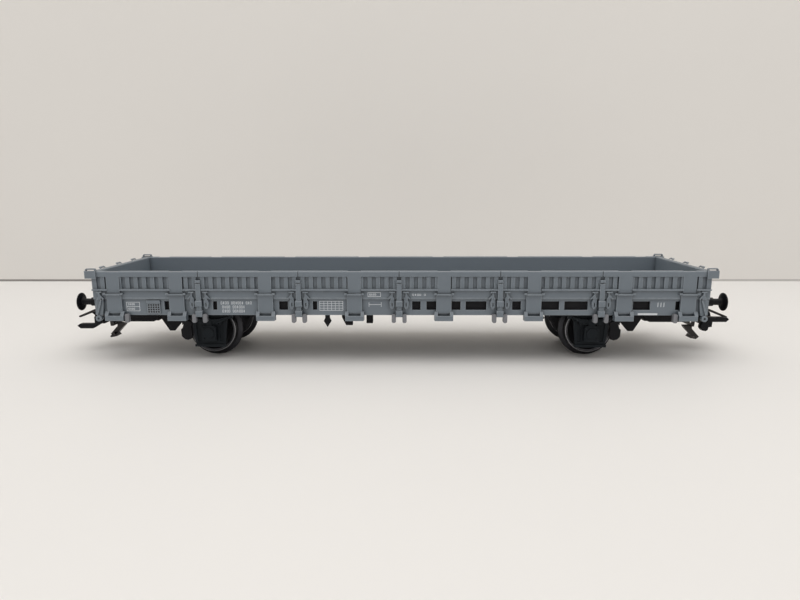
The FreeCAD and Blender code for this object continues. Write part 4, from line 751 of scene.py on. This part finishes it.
# %% [markdown]
# ## Parts that keep their CAD shape
# The floor, the underframe, the ballast, the axles and small parts inside are seen little or have the right
# shape already, so they only get their finish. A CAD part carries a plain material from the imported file,
# and its slots are replaced.

# %% Finish the remaining parts
FINISHES["wheel"] = plain_steel
replaced = {piece.name.split("_", 1)[1] for piece in rounded + wheels + buffers}
kept = [node for node in sorted(NODES) if node not in replaced]
for node in kept:
    mesh = NODES[node].data
    mesh.materials.clear()
    mesh.materials.append(floor_planks if node == "deck" else FINISHES[SLOT_OF[node]])
print("kept:", ", ".join(kept))


# %% [markdown]
# ## Table, wall and light
# The wagon stands on a pale table before a pale wall, lit softly from above. Table and wall are single
# sheets that can't be seen from behind, so that a view from the back or from below isn't blocked.
# One wide lamp overhead makes the bright upper edges and the soft shadow under the wagon, and the world
# fills in the sides.

# %% Stage
WALL_Y = 114 * MM


def pale(name, colour, roughness, one_sided=False):
    """A plain surface with a barely visible unevenness."""
    material = bpy.data.materials.new(name)
    material.use_nodes = True
    tree = material.node_tree
    shader = tree.nodes["Principled BSDF"]
    darker = tuple(value * 0.97 for value in colour)
    mottled = blend_colour(tree, noise(tree, 14, 3), (*colour, 1), (*darker, 1))
    feed(tree, shader.inputs["Base Color"], mottled)
    shader.inputs["Roughness"].default_value = roughness
    if one_sided:
        clear = add(tree, "ShaderNodeBsdfTransparent")
        choose = add(tree, "ShaderNodeMixShader")
        feed(tree, choose.inputs["Fac"], add(tree, "ShaderNodeNewGeometry").outputs["Backfacing"])
        feed(tree, choose.inputs[1], shader.outputs["BSDF"])
        feed(tree, choose.inputs[2], clear.outputs["BSDF"])
        feed(tree, tree.nodes["Material Output"].inputs["Surface"], choose.outputs["Shader"])
    return material


def stage_sheet(name, matrix, material, size=1.2):
    """A flat square sheet."""
    bm = bmesh.new()
    bmesh.ops.create_grid(bm, x_segments=1, y_segments=1, size=size, matrix=matrix)
    mesh = bpy.data.meshes.new(name)
    bm.to_mesh(mesh)
    bm.free()
    mesh.materials.append(material)
    sheet = bpy.data.objects.new(name, mesh)
    bpy.context.scene.collection.objects.link(sheet)
    return sheet


stage_sheet("table", Matrix.Identity(4), pale("table_top", (0.8, 0.785, 0.765), 0.6, one_sided=True))
wall_place = Matrix.Translation((0, WALL_Y, 0)) @ Matrix.Rotation(radians(90), 4, "X")
wall = stage_sheet("wall", wall_place, pale("wall_paint", (0.78, 0.755, 0.72), 0.7, one_sided=True))
# A thin dark strip at the foot of the wall is painted shadow, the shade in the gap behind the table's back
# edge; it is darker at the left.
gap_place = Matrix.Translation((0, WALL_Y - 0.4 * MM, 0.4 * MM)) @ Matrix.Rotation(radians(90), 4, "X")
gap_shape = Matrix.Diagonal((1, 0.5 * MM / 1.2, 1, 1))
gap_shadow_finish = pale("table_edge", (0.28, 0.265, 0.25), 0.8, one_sided=True)


def fade_to_the_right(material, colour):
    """Lightens a stage material towards +X, so that the painted shadow fades to the right."""
    tree = material.node_tree
    shader = tree.nodes["Principled BSDF"]
    place = add(tree, "ShaderNodeSeparateXYZ")
    tree.links.new(add(tree, "ShaderNodeTexCoord").outputs["Object"], place.inputs["Vector"])
    share = add(tree, "ShaderNodeMapRange", interpolation_type="SMOOTHSTEP")
    share.inputs["From Min"].default_value, share.inputs["From Max"].default_value = -60 * MM, 120 * MM
    feed(tree, share.inputs["Value"], place.outputs["X"])
    left = shader.inputs["Base Color"].links[0].from_socket
    feed(tree, shader.inputs["Base Color"], blend_colour(tree, share.outputs["Result"], left, colour))


fade_to_the_right(gap_shadow_finish, (0.52, 0.5, 0.48, 1))
stage_sheet("table_edge", gap_place @ gap_shape, gap_shadow_finish)
print("wall faces", [round(v, 2) for v in wall.data.polygons[0].normal])


# %% [markdown]
# ## Lights
# A model on a desk is lit by a wide window or a ceiling, not by a spot. One large rectangular lamp overhead
# does that, because its size alone decides how soft a shadow is. The world's even light fills the sides,
# and its strength against the lamp's sets how dark it is under the wagon.

# %% Lights
def area_light(name, place, target, width, depth, power, colour=(1, 1, 1)):
    """A rectangular lamp aimed at a point."""
    lamp = bpy.data.objects.new(name, bpy.data.lights.new(name, "AREA"))
    lamp.data.shape = "RECTANGLE"
    lamp.data.size, lamp.data.size_y = width, depth
    lamp.data.energy = power
    lamp.data.color = colour
    lamp.location = place
    lamp.rotation_euler = (Vector(target) - Vector(place)).to_track_quat("-Z", "Y").to_euler()
    bpy.context.scene.collection.objects.link(lamp)
    return lamp


area_light("overhead", (0.02, -0.03, 0.6), (0, 0, 0), 0.9, 0.8, 3.0, (1, 0.988, 0.972))
world = bpy.data.worlds.new("room")
world.use_nodes = True
world.node_tree.nodes["Background"].inputs["Color"].default_value = (1, 0.985, 0.97, 1)
world.node_tree.nodes["Background"].inputs["Strength"].default_value = 0.69
bpy.context.scene.world = world
